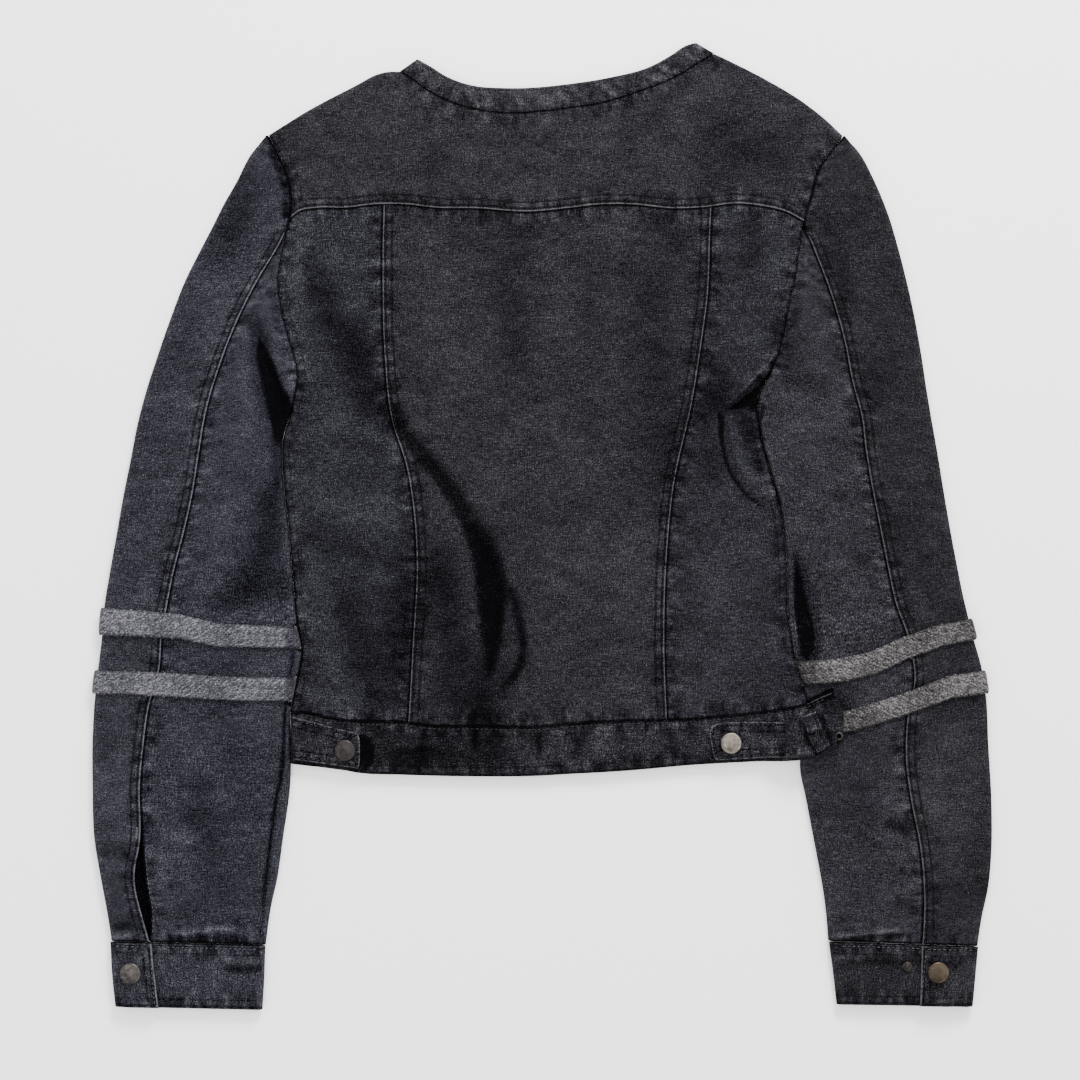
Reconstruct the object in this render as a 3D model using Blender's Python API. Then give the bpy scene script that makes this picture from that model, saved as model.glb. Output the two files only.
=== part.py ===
"""Cropped collarless denim jacket, laid face down with its back uppermost.

The tables are in millimetres in the plan of the laid jacket: x to the wearer's right, y towards
the neck. Heights are in millimetres over the floor, which is z = 0. Every piece of cloth is a
closed wall: its outer face is worked out from the tables, and its inner face lies one thickness
inside. Left and right are the wearer's.
"""
import math

import bmesh
import bpy
import numpy as np

MM = 0.001

# cloth
DENIM = 1.2            # one layer of denim
FOLDED = 2.0           # a folded and stitched band of denim: neckband, waistband, cuffs, tabs
KNIT = 2.0             # knit band on a sleeve
SEAM_GAP = 0.3         # pieces lie this far apart at a seam
CLEAR = 0.6            # room under a piece that lies on another

# heights of the laid garment
LOFT = 6.2             # outer face of the upper layer
BAND_LOFT = 6.6        # and of the neckband and the cuffs
WAIST_LOFT = 6.8       # and of the waistband
FOLD_REACH = 3.5       # the upper layer turns down over this width at a folded edge
VALLEY_DEPTH = 3.3     # no valley goes deeper, so that it stays clear of the lower layer
LAP_RISE = 0.6         # a lapped seam stands this much higher
LAP_WIDTH = 6.3        # as far as its second row of stitches
LAP_SLOPE = 1.3
BAND_BED = 2.6         # the sleeve's underside rises this much over the knit bands
BAND_TOP = 0.7         # and its upper side this much
BAND_FILL = 0.52       # and its valleys are this much shallower
BAND_RETREAT = 2.8     # and its inner edge draws in this much, beside the body
BAND_CORNER = 1.7      # its lower layer ends this much earlier, inside the band's rounded edge
CENTRE = 8.0           # centre line of the fronts
FRONT_INSET = 2.5      # the fronts stay this far inside the sleeves' edges
CLOSURE = 13.0         # each front reaches this far past the centre line
NECK_LEVEL = 45.0      # the front neckline is nearly level this far from the centre line
LAP_RAMP = 9.0         # the left front climbs onto the right one over this width
HEM_RISE = 9.3         # the waistband's right end lies on the sleeve, this high
SLOPE_ROOM = 1.08      # the upper layer climbs this much more than the lower one there

# hardware
BUTTON_RADIUS = 7.3
BUTTON_RISE = 3.2
SNAP_RADIUS = 3.4
SNAP_RISE = 1.6
EYELET_RADIUS = 3.0
EYELET_RISE = 1.4

CORNER_LEFT = (-191.6, 272.9)      # shoulder points, where armhole and outline meet
CORNER_RIGHT = (210.0, 272.4)

# sleeve sections from the shoulder to the cuff seam: outer and inner end of each in plan,
# the back seam as a share of the way from outer to inner, and the width of the open slit
SLEEVE_LEFT = [
    # outer x, outer y, inner x, inner y, seam, slit
    (-196.4, 268.4, -189.4, 268.2, 1.000, 0.000),
    (-203.3, 260.1, -184.4, 259.3, 1.000, 0.000),
    (-214.5, 239.0, -176.8, 241.8, 1.000, 0.000),
    (-222.9, 224.3, -174.6, 227.8, 1.000, 0.000),
    (-230.6, 208.9, -176.0, 214.5, 1.000, 0.000),
    (-240.4, 190.0, -180.2, 197.8, 0.956, 0.000),
    (-249.5, 171.8, -184.4, 175.3, 0.813, 0.000),
    (-260.1, 144.5, -182.3, 150.1, 0.638, 0.000),
    (-269.1, 118.6, -176.8, 129.2, 0.529, 0.000),
    (-276.8, 94.8, -171.1, 106.0, 0.454, 0.000),
    (-283.1, 71.0, -175.3, 81.5, 0.443, 0.000),
    (-287.3, 49.3, -181.6, 59.8, 0.458, 0.000),
    (-292.9, 21.3, -180.9, 28.3, 0.440, 0.000),
    (-297.8, -6.6, -177.4, -3.1, 0.396, 0.000),
    (-302.8, -34.6, -174.8, -34.6, 0.353, 0.000),
    (-306.2, -57.7, -171.1, -71.8, 0.321, 0.000),
    (-307.4, -73.8, -168.3, -84.3, 0.303, 0.000),
    (-310.4, -99.8, -171.1, -105.3, 0.309, 0.000),
    (-313.0, -124.0, -175.9, -130.0, 0.283, 0.000),
    (-314.6, -150.1, -176.0, -150.1, 0.265, 0.000),
    (-314.6, -181.6, -176.4, -181.6, 0.245, 0.000),
    (-313.2, -220.1, -181.6, -220.1, 0.247, 0.012),
    (-309.0, -245.3, -185.1, -245.3, 0.198, 0.073),
    (-303.4, -276.1, -190.8, -272.6, 0.222, 0.050),
    (-301.3, -290.1, -193.5, -292.9, 0.253, 0.000),
]
SLEEVE_RIGHT = [
    # outer x, outer y, inner x, inner y, seam, slit
    (214.4, 268.4, 207.4, 268.0, 1.000, 0.000),
    (220.8, 261.4, 200.5, 260.1, 1.000, 0.000),
    (230.6, 243.9, 191.4, 246.0, 1.000, 0.000),
    (236.9, 229.9, 187.9, 232.7, 1.000, 0.000),
    (242.5, 215.2, 182.3, 212.4, 1.000, 0.000),
    (248.1, 196.3, 179.5, 196.3, 0.876, 0.000),
    (254.4, 171.8, 176.8, 175.3, 0.746, 0.000),
    (260.1, 145.9, 172.5, 156.4, 0.639, 0.000),
    (264.9, 119.3, 167.6, 131.2, 0.553, 0.000),
    (268.4, 96.2, 161.0, 111.4, 0.494, 0.000),
    (271.9, 75.2, 151.3, 87.1, 0.417, 0.000),
    (276.8, 47.2, 152.9, 61.9, 0.416, 0.000),
    (281.0, 21.3, 160.6, 33.2, 0.425, 0.000),
    (285.2, -3.1, 168.0, 0.3, 0.425, 0.000),
    (290.1, -29.0, 171.1, -31.1, 0.413, 0.000),
    (294.3, -50.0, 171.8, -62.6, 0.390, 0.000),
    (297.8, -65.5, 176.0, -94.8, 0.359, 0.000),
    (301.3, -79.4, 180.6, -111.0, 0.363, 0.000),
    (306.0, -96.0, 184.4, -124.0, 0.385, 0.000),
    (309.8, -119.3, 182.6, -146.0, 0.432, 0.000),
    (311.8, -153.6, 180.0, -168.3, 0.444, 0.000),
    (313.9, -192.1, 184.4, -192.1, 0.439, 0.000),
    (313.9, -227.1, 190.8, -225.7, 0.408, 0.000),
    (311.8, -251.6, 195.6, -251.6, 0.396, 0.000),
    (306.9, -274.8, 198.4, -272.6, 0.377, 0.000),
    (304.1, -293.6, 199.8, -290.1, 0.376, 0.000),
]
SEAM_START = 5         # section where the under sleeve begins
ARMHOLE_END = 4        # section at the yoke seam
HEM_SECTION = 18       # section beside the waistband's top edge
HALF_SECTIONS = (7, 12)

# cuffs, from the sleeve seam to the open end, and the lapped end's edge as a share of the way
CUFF_LEFT = [
    # outer x, outer y, inner x, inner y, lap
    (-301.9, -291.0, -193.6, -293.8, 0.270),
    (-300.8, -313.0, -194.3, -316.0, 0.285),
    (-298.5, -335.6, -195.6, -338.0, 0.300),
]
CUFF_RIGHT = [
    # outer x, outer y, inner x, inner y, lap
    (304.4, -294.6, 200.1, -291.1, 0.385),
    (302.6, -314.0, 203.0, -313.0, 0.389),
    (300.6, -335.6, 205.4, -334.2, 0.393),
]
CUFF_LAP = 17.0        # the lapped end reaches this far over the other
CUFF_LAP_SLOPE = 8.0

# knit bands: first and last section that each covers, and how far it waves along the sleeve
KNIT_BANDS = [
    # side, name, first, last, waves in mm at equal steps from the outer to the inner edge
    ("left", "upper", 15.0, 16.1, (0.0, 1.0, 1.4, -2.4, -0.8, 0.6)),
    ("left", "lower", 17.06, 17.72, (0.0, 0.6, 0.2, -0.6, -0.4, 0.6)),
    ("right", "upper", 16.0, 17.0, (0.0, 1.2, -1.2, -6.0, -4.9, -0.5)),
    ("right", "lower", 18.28, 18.95, (1.0, 3.0, -1.0, -4.0, -5.4, -2.0)),
]

# seams and edges across the body
YOKE_SEAM = [
    (-176.0, 214.5), (-169.0, 219.6), (-158.0, 221.5), (-136.1, 221.8), (-118.0, 224.0),
    (-96.2, 224.1), (-74.5, 221.7), (-45.8, 221.3), (-8.8, 219.0), (17.8, 221.5), (40.2, 224.0),
    (61.9, 224.0), (92.0, 221.2), (113.7, 222.2), (135.4, 224.7), (153.6, 222.9), (170.4, 218.8),
    (182.3, 212.4),
]
WAIST_SEAM = [
    (-175.9, -130.0), (-162.0, -131.4), (-144.5, -135.4), (-127.7, -136.8), (-99.8, -137.2),
    (-77.3, -139.9), (-47.2, -140.3), (-1.8, -140.6), (28.3, -138.0), (59.1, -136.6),
    (104.6, -135.2), (127.0, -133.3), (150.1, -130.9), (170.0, -127.6), (184.4, -124.0),
]
WAIST_END = [(184.4, -124.0), (193.0, -119.8), (201.2, -116.5)]
WAIST_END_EDGE = [(201.2, -116.5), (206.4, -122.0), (209.2, -129.5), (209.4, -141.0), (209.0, -149.6)]
HEM = [
    (-174.5, -166.4), (-162.8, -167.8), (-144.5, -169.6), (-127.0, -172.8), (-99.8, -173.9),
    (-47.2, -175.1), (-1.8, -174.6), (12.2, -173.8), (59.1, -171.1), (104.6, -167.1),
    (150.1, -164.6), (172.0, -163.6), (186.5, -161.6), (199.8, -154.6), (209.0, -149.6),
]
PRINCESS_LEFT = [
    (-110.9, 223.8), (-111.6, 190.0), (-111.6, 164.1), (-110.2, 118.6), (-105.3, 73.8),
    (-94.8, 40.2), (-89.2, 2.4), (-87.8, -22.8), (-90.6, -83.6), (-93.6, -137.9),
]
PRINCESS_RIGHT = [
    (117.9, 222.8), (117.2, 208.9), (115.1, 158.5), (111.6, 131.9), (103.9, 83.6),
    (92.0, 30.4), (87.1, -15.7), (85.0, -83.6), (86.8, -136.0),
]
SHOULDER_LEFT = [(-99.8, 317.4), (-108.0, 317.4), (-117.2, 315.0), (-127.7, 309.3), (-162.8, 290.8),
                 CORNER_LEFT]
SHOULDER_RIGHT = [(120.0, 330.0), (129.8, 325.4), (156.4, 311.8), (180.2, 297.6), (197.8, 284.0),
                  CORNER_RIGHT]
NECK_SEAM = [
    (-99.8, 317.4), (-90.6, 311.6), (-80.8, 304.4), (-62.6, 295.2), (-43.8, 290.1), (-26.2, 288.0),
    (-3.8, 289.0), (17.8, 291.4), (47.2, 296.6), (69.6, 303.8), (92.0, 312.8), (108.0, 322.4),
    (120.0, 330.0),
]
NECK_EDGE = [
    (-87.8, 325.8), (-77.3, 319.8), (-66.1, 312.9), (-51.4, 307.6), (-26.2, 305.3), (-3.8, 305.8),
    (17.8, 308.0), (47.2, 312.7), (73.8, 319.7), (89.9, 328.2), (99.5, 334.6), (107.6, 337.2),
]
FRONT_NECK_SEAM_LEFT = [(-99.8, 317.4), (-94.0, 290.0), (-76.0, 258.0), (-42.0, 237.0), (8.0, 229.5)]
FRONT_NECK_SEAM_RIGHT = [(120.0, 330.0), (112.0, 294.0), (92.0, 260.0), (58.0, 237.5), (8.0, 229.5)]
FRONT_NECK_EDGE_LEFT = [(-87.8, 325.8), (-78.0, 294.0), (-62.0, 270.0), (-33.0, 253.0), (8.0, 247.0)]
FRONT_NECK_EDGE_RIGHT = [(107.6, 337.2), (97.0, 301.0), (79.0, 273.0), (49.0, 253.5), (8.0, 247.0)]

# the largest folds: ridges have a positive height; the widths are those on the left and on the
# right hand along the path
FOLDS = [
    # path, height, left width, right width
    ([(-94.0, 74.0), (-78.8, 52.8), (-50.8, 14.3), (-29.7, -17.1), (-19.2, -52.1), (-17.8, -87.1),
      (-26.0, -122.0)], 3.8, 42.0, 9.0),
    ([(-112.0, 92.0), (-89.2, 49.3), (-56.0, -3.1), (-40.0, -38.1), (-38.0, -87.1),
      (-36.0, -134.0)], -2.4, 10.0, 16.0),
    ([(170.0, 133.0), (164.1, 121.4), (145.9, 102.5), (132.7, 90.6), (120.0, 79.0)],
     4.4, 4.5, 19.0),
    ([(166.0, 113.0), (156.0, 101.0), (143.0, 88.0), (127.0, 75.0)], -2.4, 9.0, 5.0),
    ([(122.5, 92.0), (123.5, 70.0), (128.0, 44.0), (138.0, 24.0), (160.0, 8.0)], -2.4, 8.0, 5.0),
    ([(131.0, 84.0), (133.0, 60.0), (140.0, 38.0), (152.0, 20.0)], 2.2, 9.0, 6.0),
    ([(-124.0, -44.0), (-105.3, -50.0), (-88.0, -52.1)], -1.2, 7.0, 7.0),
    ([(-206.0, 160.0), (-198.0, 128.0), (-191.0, 103.0), (-187.0, 80.0), (-184.0, 50.0)],
     -3.4, 7.0, 9.0),
    ([(-200.0, 152.0), (-187.0, 117.0), (-178.0, 99.0), (-174.5, 80.0)], 2.4, 10.0, 6.0),
    ([(-214.0, 146.0), (-207.0, 95.0), (-198.0, 40.0)], 1.6, 10.0, 22.0),
    ([(166.5, 8.0), (174.0, -25.0), (180.0, -56.0), (184.0, -83.6), (191.0, -105.3),
      (208.0, -124.0), (213.0, -146.0), (214.0, -176.0)], -3.6, 5.0, 22.0),
    ([(162.0, 110.0), (182.3, 101.8), (206.0, 91.0)], -1.5, 7.0, 9.0),
    ([(240.0, -190.0), (252.0, -214.0), (262.0, -240.0)], -1.2, 9.0, 9.0),
]

# colours are linear red, green and blue
CHARCOAL = (0.034, 0.032, 0.042)
MELANGE = (0.17, 0.165, 0.175)
NICKEL = (0.30, 0.27, 0.235)


def smoothstep(t):
    t = np.clip(t, 0.0, 1.0)
    return t * t * (3.0 - 2.0 * t)


def through(rows, steps):
    """A smooth curve through table rows, read at fractional row numbers."""
    rows = np.asarray(rows, float)
    steps = np.asarray(steps, float)
    chord = np.linalg.norm(np.diff(rows[:, :2], axis=0), axis=1)[:, None]
    slope = np.diff(rows, axis=0) / chord
    tangent = np.empty_like(rows)
    tangent[0], tangent[-1] = slope[0], slope[-1]
    tangent[1:-1] = (slope[:-1] * chord[1:] + slope[1:] * chord[:-1]) / (chord[:-1] + chord[1:])
    span = np.clip(steps.astype(int), 0, len(rows) - 2)
    t = (steps - span)[:, None]
    h = chord[span]
    return ((2 * t**3 - 3 * t**2 + 1) * rows[span] + (t**3 - 2 * t**2 + t) * h * tangent[span]
            + (3 * t**2 - 2 * t**3) * rows[span + 1] + (t**3 - t**2) * h * tangent[span + 1])


def curve(points, per_span=4):
    return through(points, np.linspace(0, len(points) - 1, (len(points) - 1) * per_span + 1))


def lengths(line):
    return np.append(0.0, np.cumsum(np.linalg.norm(np.diff(line[:, :2], axis=0), axis=1)))


def along(line, shares):
    """Points at the given shares of a line's length."""
    run = lengths(line)
    where = np.asarray(shares) * run[-1]
    return np.stack([np.interp(where, run, line[:, k]) for k in range(line.shape[1])], axis=-1)


def across_x(line, xs):
    order = np.argsort(line[:, 0])
    return np.stack([xs, np.interp(xs, line[order, 0], line[order, 1])], axis=-1)


def measure(points, line):
    """Distance to a line, the side (1 is its left hand), the share of its length and its third
    column where the line comes nearest."""
    points = points.reshape(-1, 2)
    start, step = line[:-1, :2], np.diff(line[:, :2], axis=0)
    size = np.linalg.norm(step, axis=1)
    offset = points[:, None] - start[None]
    t = np.clip((offset * step).sum(2) / size**2, 0.0, 1.0)
    gap = offset - t[..., None] * step
    dist = np.linalg.norm(gap, axis=2)
    near = dist.argmin(axis=1)
    row = np.arange(len(points))
    t, gap = t[row, near], gap[row, near]
    side = np.sign(step[near, 0] * gap[:, 1] - step[near, 1] * gap[:, 0])
    share = (lengths(line)[near] + t * size[near]) / size.sum()
    extra = line[near, -1] * (1 - t) + line[near + 1, -1] * t
    return dist[row, near], side, share, extra


def relief(points):
    """Height that the folds add, ridges up and valleys down."""
    shape = points.shape[:-1]
    rise = np.zeros(int(np.prod(shape)))
    for path, height, left, right in FOLDS:
        dist, side, share, _ = measure(points, curve(path))
        width = np.where(side > 0, left, right)
        taper = smoothstep(np.minimum(share, 1.0 - share) / 0.22)
        rise += height * np.exp(-(dist / width) ** 2) * taper
    rise = np.where(rise < 0.0, VALLEY_DEPTH * np.tanh(rise / VALLEY_DEPTH), rise)
    return rise.reshape(shape)


def hem_rise(points):
    """The right end of the hem climbs onto the sleeve."""
    ramp_start, ramp_width = 150.0, 27.0
    fade_start, fade_width = -60.0, 56.0
    return (HEM_RISE * smoothstep((points[..., 0] - ramp_start) / ramp_width)
            * smoothstep((fade_start - points[..., 1]) / fade_width))


def rounding(points, edges):
    """1 on the flat, falling to 0 at a folded edge. An edge's third column is 1 where it is
    folded and 0 where it is a seam that lies flat."""
    shape = points.shape[:-1]
    total = np.ones(int(np.prod(shape)))
    inset = 0.2
    for line in edges:
        dist, _, _, folded = measure(points, line)
        reach = np.clip((dist - inset) / FOLD_REACH, 0.0, 1.0)
        total *= 1.0 - folded * (1.0 - np.sqrt(1.0 - (1.0 - reach) ** 2))
    return total.reshape(shape)


def with_fold(line, folded):
    return np.column_stack([line[:, :2], np.broadcast_to(folded, len(line))])


# ---------------------------------------------------------------- shared lines in plan

def sleeve_steps(table):
    """Every section, and half sections where the folds are."""
    return np.sort(np.concatenate([np.arange(len(table)), np.arange(*HALF_SECTIONS) + 0.5]))


def sleeve_lines(table):
    """Outer and inner edge of a sleeve, with a point at every step."""
    rows = through(table, sleeve_steps(table))
    return rows[:, 0:2], rows[:, 2:4]


OUTER_LEFT, INNER_LEFT = sleeve_lines(SLEEVE_LEFT)
OUTER_RIGHT, INNER_RIGHT = sleeve_lines(SLEEVE_RIGHT)


def armpit_fold(line, top, bottom):
    """The inner edge is a flat seam down to the armpit and a folded edge below it."""
    return with_fold(line, smoothstep((top - line[:, 1]) / (top - bottom)))


EDGE_LEFT = armpit_fold(INNER_LEFT, 100.0, 72.0)
EDGE_RIGHT = armpit_fold(INNER_RIGHT, 120.0, 78.0)
NECK_END_LEFT = np.array([NECK_SEAM[0], NECK_EDGE[0]])
NECK_END_RIGHT = np.array([NECK_SEAM[-1], NECK_EDGE[-1]])
OUTLINE_LEFT = with_fold(np.vstack([NECK_END_LEFT[::-1], curve(SHOULDER_LEFT)[1:], OUTER_LEFT]), 1.0)
OUTLINE_RIGHT = with_fold(np.vstack([NECK_END_RIGHT[::-1], curve(SHOULDER_RIGHT)[1:], OUTER_RIGHT]), 1.0)
BODY_EDGES = [OUTLINE_LEFT, OUTLINE_RIGHT, EDGE_LEFT, EDGE_RIGHT]


def row_of(section):
    """Where a section comes among the steps."""
    first, last = HALF_SECTIONS
    return section + min(max(section - first, 0), last - first)


def body_side(inner, start, end):
    return inner[row_of(start):row_of(end) + 1]


SIDE_LEFT = body_side(INNER_LEFT, ARMHOLE_END, HEM_SECTION)[::-1]       # hem to yoke seam
SIDE_RIGHT = body_side(INNER_RIGHT, ARMHOLE_END, HEM_SECTION)[::-1]
ARMHOLE_LEFT = np.vstack([body_side(INNER_LEFT, 0, ARMHOLE_END)[::-1], [CORNER_LEFT]])
ARMHOLE_RIGHT = np.vstack([body_side(INNER_RIGHT, 0, ARMHOLE_END)[::-1], [CORNER_RIGHT]])


def join_ends(line, start, end):
    """The line, eased so that it runs exactly from start to end."""
    share = (lengths(line) / lengths(line)[-1])[:, None]
    return line + (1 - share) * (np.asarray(start) - line[0]) + share * (np.asarray(end) - line[-1])


def on_line(line, x):
    return across_x(line, np.array([x]))[0]


YOKE_LINE = join_ends(curve(YOKE_SEAM), SIDE_LEFT[-1], SIDE_RIGHT[-1])
WAIST_LINE = join_ends(curve(WAIST_SEAM), SIDE_LEFT[0], SIDE_RIGHT[0])


def princess_line(points):
    """A seam from the waist up to the yoke, with as many points as the side edges."""
    line = join_ends(curve(points), on_line(YOKE_LINE, points[0][0]),
                     on_line(WAIST_LINE, points[-1][0]))[::-1]
    return along(line, np.linspace(0.0, 1.0, len(SIDE_LEFT)))


SEAM_LEFT = princess_line(PRINCESS_LEFT)
SEAM_RIGHT = princess_line(PRINCESS_RIGHT)


# ---------------------------------------------------------------- grids of points

def cells(length, size):
    return max(2, int(round(length / size)))


def shares(length, size, start=(), end=()):
    """Shares across a piece: the given distances from its two edges, and even steps between."""
    half_gap = SEAM_GAP / 2
    first = [half_gap] + [half_gap + d for d in start]
    last = [half_gap] + [half_gap + d for d in end]
    inner = length - first[-1] - last[-1]
    even = [first[-1] + inner * k / cells(inner, size) for k in range(1, cells(inner, size))]
    return np.array(first + even + [length - d for d in reversed(last)]) / length


def coons(bottom, top, left, right, us, vs):
    """Points of a patch between four lines; us and vs are grids of shares."""
    b, t = along(bottom, us), along(top, us)
    l, r = along(left, vs), along(right, vs)
    u, v = us[..., None], vs[..., None]
    corners = ((1 - u) * (1 - v) * bottom[0] + u * (1 - v) * bottom[-1]
               + (1 - u) * v * top[0] + u * v * top[-1])
    return (1 - v) * b + v * t + (1 - u) * l + u * r - corners


def with_height(points, height):
    return np.concatenate([points, height[..., None]], axis=-1)


# ---------------------------------------------------------------- meshes

def material(name, colour, roughness, metallic=0.0):
    mat = bpy.data.materials.get(name) or bpy.data.materials.new(name)
    mat.use_nodes = True
    shader = mat.node_tree.nodes["Principled BSDF"]
    shader.inputs["Base Color"].default_value = (*colour, 1.0)
    shader.inputs["Roughness"].default_value = roughness
    shader.inputs["Metallic"].default_value = metallic
    return mat


def denim(name):
    return material(name + "_denim", CHARCOAL, 0.86)


def add_object(name, points, faces, mat, smooth=True):
    mesh = bpy.data.meshes.new(name)
    mesh.from_pydata([tuple(p * MM) for p in np.asarray(points)], [], faces)
    mesh.materials.append(mat)
    bm = bmesh.new()
    bm.from_mesh(mesh)
    bmesh.ops.recalc_face_normals(bm, faces=bm.faces)
    bm.to_mesh(mesh)
    bm.free()
    if smooth:
        mesh.shade_smooth()
        mesh.set_sharp_from_angle(angle=math.radians(40.0))
    obj = bpy.data.objects.new(name, mesh)
    bpy.context.collection.objects.link(obj)
    return obj


def grid_normals(grid, closed=False):
    """Unit normals of a grid of points, seen from the side that the piece shows."""
    if closed:
        du = np.roll(grid, -1, axis=0) - np.roll(grid, 1, axis=0)
    else:
        du = np.gradient(grid, axis=0)
    normal = np.cross(du, np.gradient(grid, axis=1))
    return normal / np.linalg.norm(normal, axis=2, keepdims=True)


def grid_faces(columns, rows, first, closed, turned):
    faces = []
    for i in range(columns if closed else columns - 1):
        for j in range(rows - 1):
            a, b = first + i * rows + j, first + (i + 1) % columns * rows + j
            quad = (a, b, b + 1, a + 1)
            faces.append(quad[::-1] if turned else quad)
    return faces


def wall(name, outer, inner, mat, closed=False):
    """A closed body between two grids of points, which share their layout."""
    columns, rows = outer.shape[:2]
    points = np.concatenate([outer.reshape(-1, 3), inner.reshape(-1, 3)])
    back = columns * rows
    faces = grid_faces(columns, rows, 0, closed, False) + grid_faces(columns, rows, back, closed, True)
    for i in range(columns if closed else columns - 1):
        low, high = i * rows, (i + 1) % columns * rows
        faces.append((low, back + low, back + high, high))
        low, high = high + rows - 1, low + rows - 1
        faces.append((low, back + low, back + high, high))
    if not closed:
        for j in range(rows - 1):
            faces.append((j + 1, back + j + 1, back + j, j))
            far = (columns - 1) * rows
            faces.append((far + j, back + far + j, back + far + j + 1, far + j + 1))
    return add_object(name, points, faces, mat)


def rim_normal(normal, folded):
    """A wall's thickness runs straight down at a seam, and level at a folded edge (folded 1)."""
    folded = np.broadcast_to(folded, normal.shape[:-1])[..., None]
    rim = normal * folded * (1.0, 1.0, 0.0) + (1.0 - folded) * np.array([0.0, 0.0, 1.0])
    return rim / np.linalg.norm(rim, axis=-1, keepdims=True)


def sheet(name, plan, height, thickness, mat, edges, seam_rows=(0, -1)):
    """A wall whose upper face has the given height; it turns down at its folded edges. Where a
    folded edge meets a seam, the thickness stays along that seam."""
    outer = with_height(plan, height)
    normal = grid_normals(outer)
    if normal[..., 2].mean() < 0:
        normal = -normal
    folded = np.clip(1.0 - rounding(plan, edges) / 0.6, 0.0, 1.0)
    for rim in (np.s_[0], np.s_[-1], np.s_[:, 0], np.s_[:, -1]):
        normal[rim] = rim_normal(normal[rim], folded[rim])
    for row in seam_rows:
        run = np.gradient(plan[:, row], axis=0)
        run /= np.linalg.norm(run, axis=1, keepdims=True)
        level = (normal[:, row, :2] * run).sum(axis=1, keepdims=True) * run
        normal[:, row] = np.concatenate([level, normal[:, row, 2:]], axis=1)
        normal[:, row] /= np.linalg.norm(normal[:, row], axis=1, keepdims=True)
    depth = DENIM + (thickness - DENIM) * rounding(plan, edges)
    return wall(name, outer, outer - normal * depth[..., None], mat)


def plate(name, plan, lift, thickness, mat):
    """A level wall of the lower layer, standing on the floor where its lift is 0."""
    return wall(name, with_height(plan, lift + thickness), with_height(plan, lift), mat)


# ---------------------------------------------------------------- body

def lap(points, line, side):
    """The raised strip along a lapped seam, on one side of its line."""
    dist, hand, _, _ = measure(points, line)
    rise = LAP_RISE * (1.0 - smoothstep((dist - LAP_WIDTH) / LAP_SLOPE))
    return np.where(hand * side >= 0, rise, 0.0).reshape(points.shape[:-1])


def body_height(points, low, extra=0.0):
    """Upper layer of the body: low is the height of its folded edges."""
    lift = hem_rise(points)
    full = LOFT + relief(points) * (1.0 - lift / HEM_RISE) + lift + extra
    base = low + lift * SLOPE_ROOM
    return base + (full - base) * rounding(points, BODY_EDGES)


FOLD_STEPS = (0.4, 1.4, 3.5)           # distances from a folded edge that need a row of points
LAP_STEPS = (LAP_WIDTH, LAP_WIDTH + LAP_SLOPE)
LOW_EDGE = DENIM + SEAM_GAP
BAND_LOW = FOLDED + SEAM_GAP
PANELS = [
    # name, left line, right line, extra columns at the left and right, column width, laps
    ("back_side_left", SIDE_LEFT, SEAM_LEFT, FOLD_STEPS, (), 15.5, []),
    ("back_centre", SEAM_LEFT, SEAM_RIGHT, LAP_STEPS, LAP_STEPS, 14.0,
     [(SEAM_LEFT, -1), (SEAM_RIGHT, 1)]),
    ("back_side_right", SEAM_RIGHT, SIDE_RIGHT, (), FOLD_STEPS, 12.0, []),
]


def row_shares(line):
    """The points of a line as shares of its length."""
    return lengths(line) / lengths(line)[-1]


def split_line(line, x0, x1):
    """The stretch of a line between two x values."""
    xs = line[(line[:, 0] > x0 + 0.5) & (line[:, 0] < x1 - 0.5), 0]
    return across_x(line, np.concatenate([[x0], xs, [x1]]))


def panel_columns(left, right, start, end, size):
    """Columns of a back panel, and its edges along the waist seam and the yoke seam."""
    yoke = split_line(YOKE_LINE, left[-1, 0], right[-1, 0])
    waist = split_line(WAIST_LINE, left[0, 0], right[0, 0])
    width = 0.5 * (lengths(yoke)[-1] + lengths(waist)[-1])
    return shares(width, size, start, end), waist, yoke


def patch(left, right, bottom, top, us, vs):
    """Points between four sides that are already sampled: rows of left and right, columns of
    bottom and top."""
    u, v = us[:, :, None], vs[:, :, None]
    corners = ((1 - u) * (1 - v) * left[0] + u * (1 - v) * right[0]
               + (1 - u) * v * left[-1] + u * v * right[-1])
    return ((1 - v) * bottom[:, None] + v * top[:, None]
            + (1 - u) * left[None] + u * right[None] - corners)


def body_panel(name, left, right, start, end, size, laps):
    columns, waist, yoke = panel_columns(left, right, start, end, size)
    left_rows, right_rows = row_shares(left), row_shares(right)
    us = np.repeat(columns[:, None], len(left_rows), axis=1)
    vs = (1 - us) * left_rows[None] + us * right_rows[None]
    plan = patch(along(left, left_rows), along(right, right_rows),
                 along(waist, columns), along(yoke, columns), us, vs)
    plan[..., 1] += SEAM_GAP / 2 * (1.0 - 2.0 * vs)
    extra = sum(lap(plan, line, side) for line, side in laps) if laps else 0.0
    sheet(name, plan, body_height(plan, LOW_EDGE, extra), DENIM, denim(name), BODY_EDGES)


def back_panels():
    for name, left, right, start, end, size, laps in PANELS:
        body_panel(name, left, right, start, end, size, laps)


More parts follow.
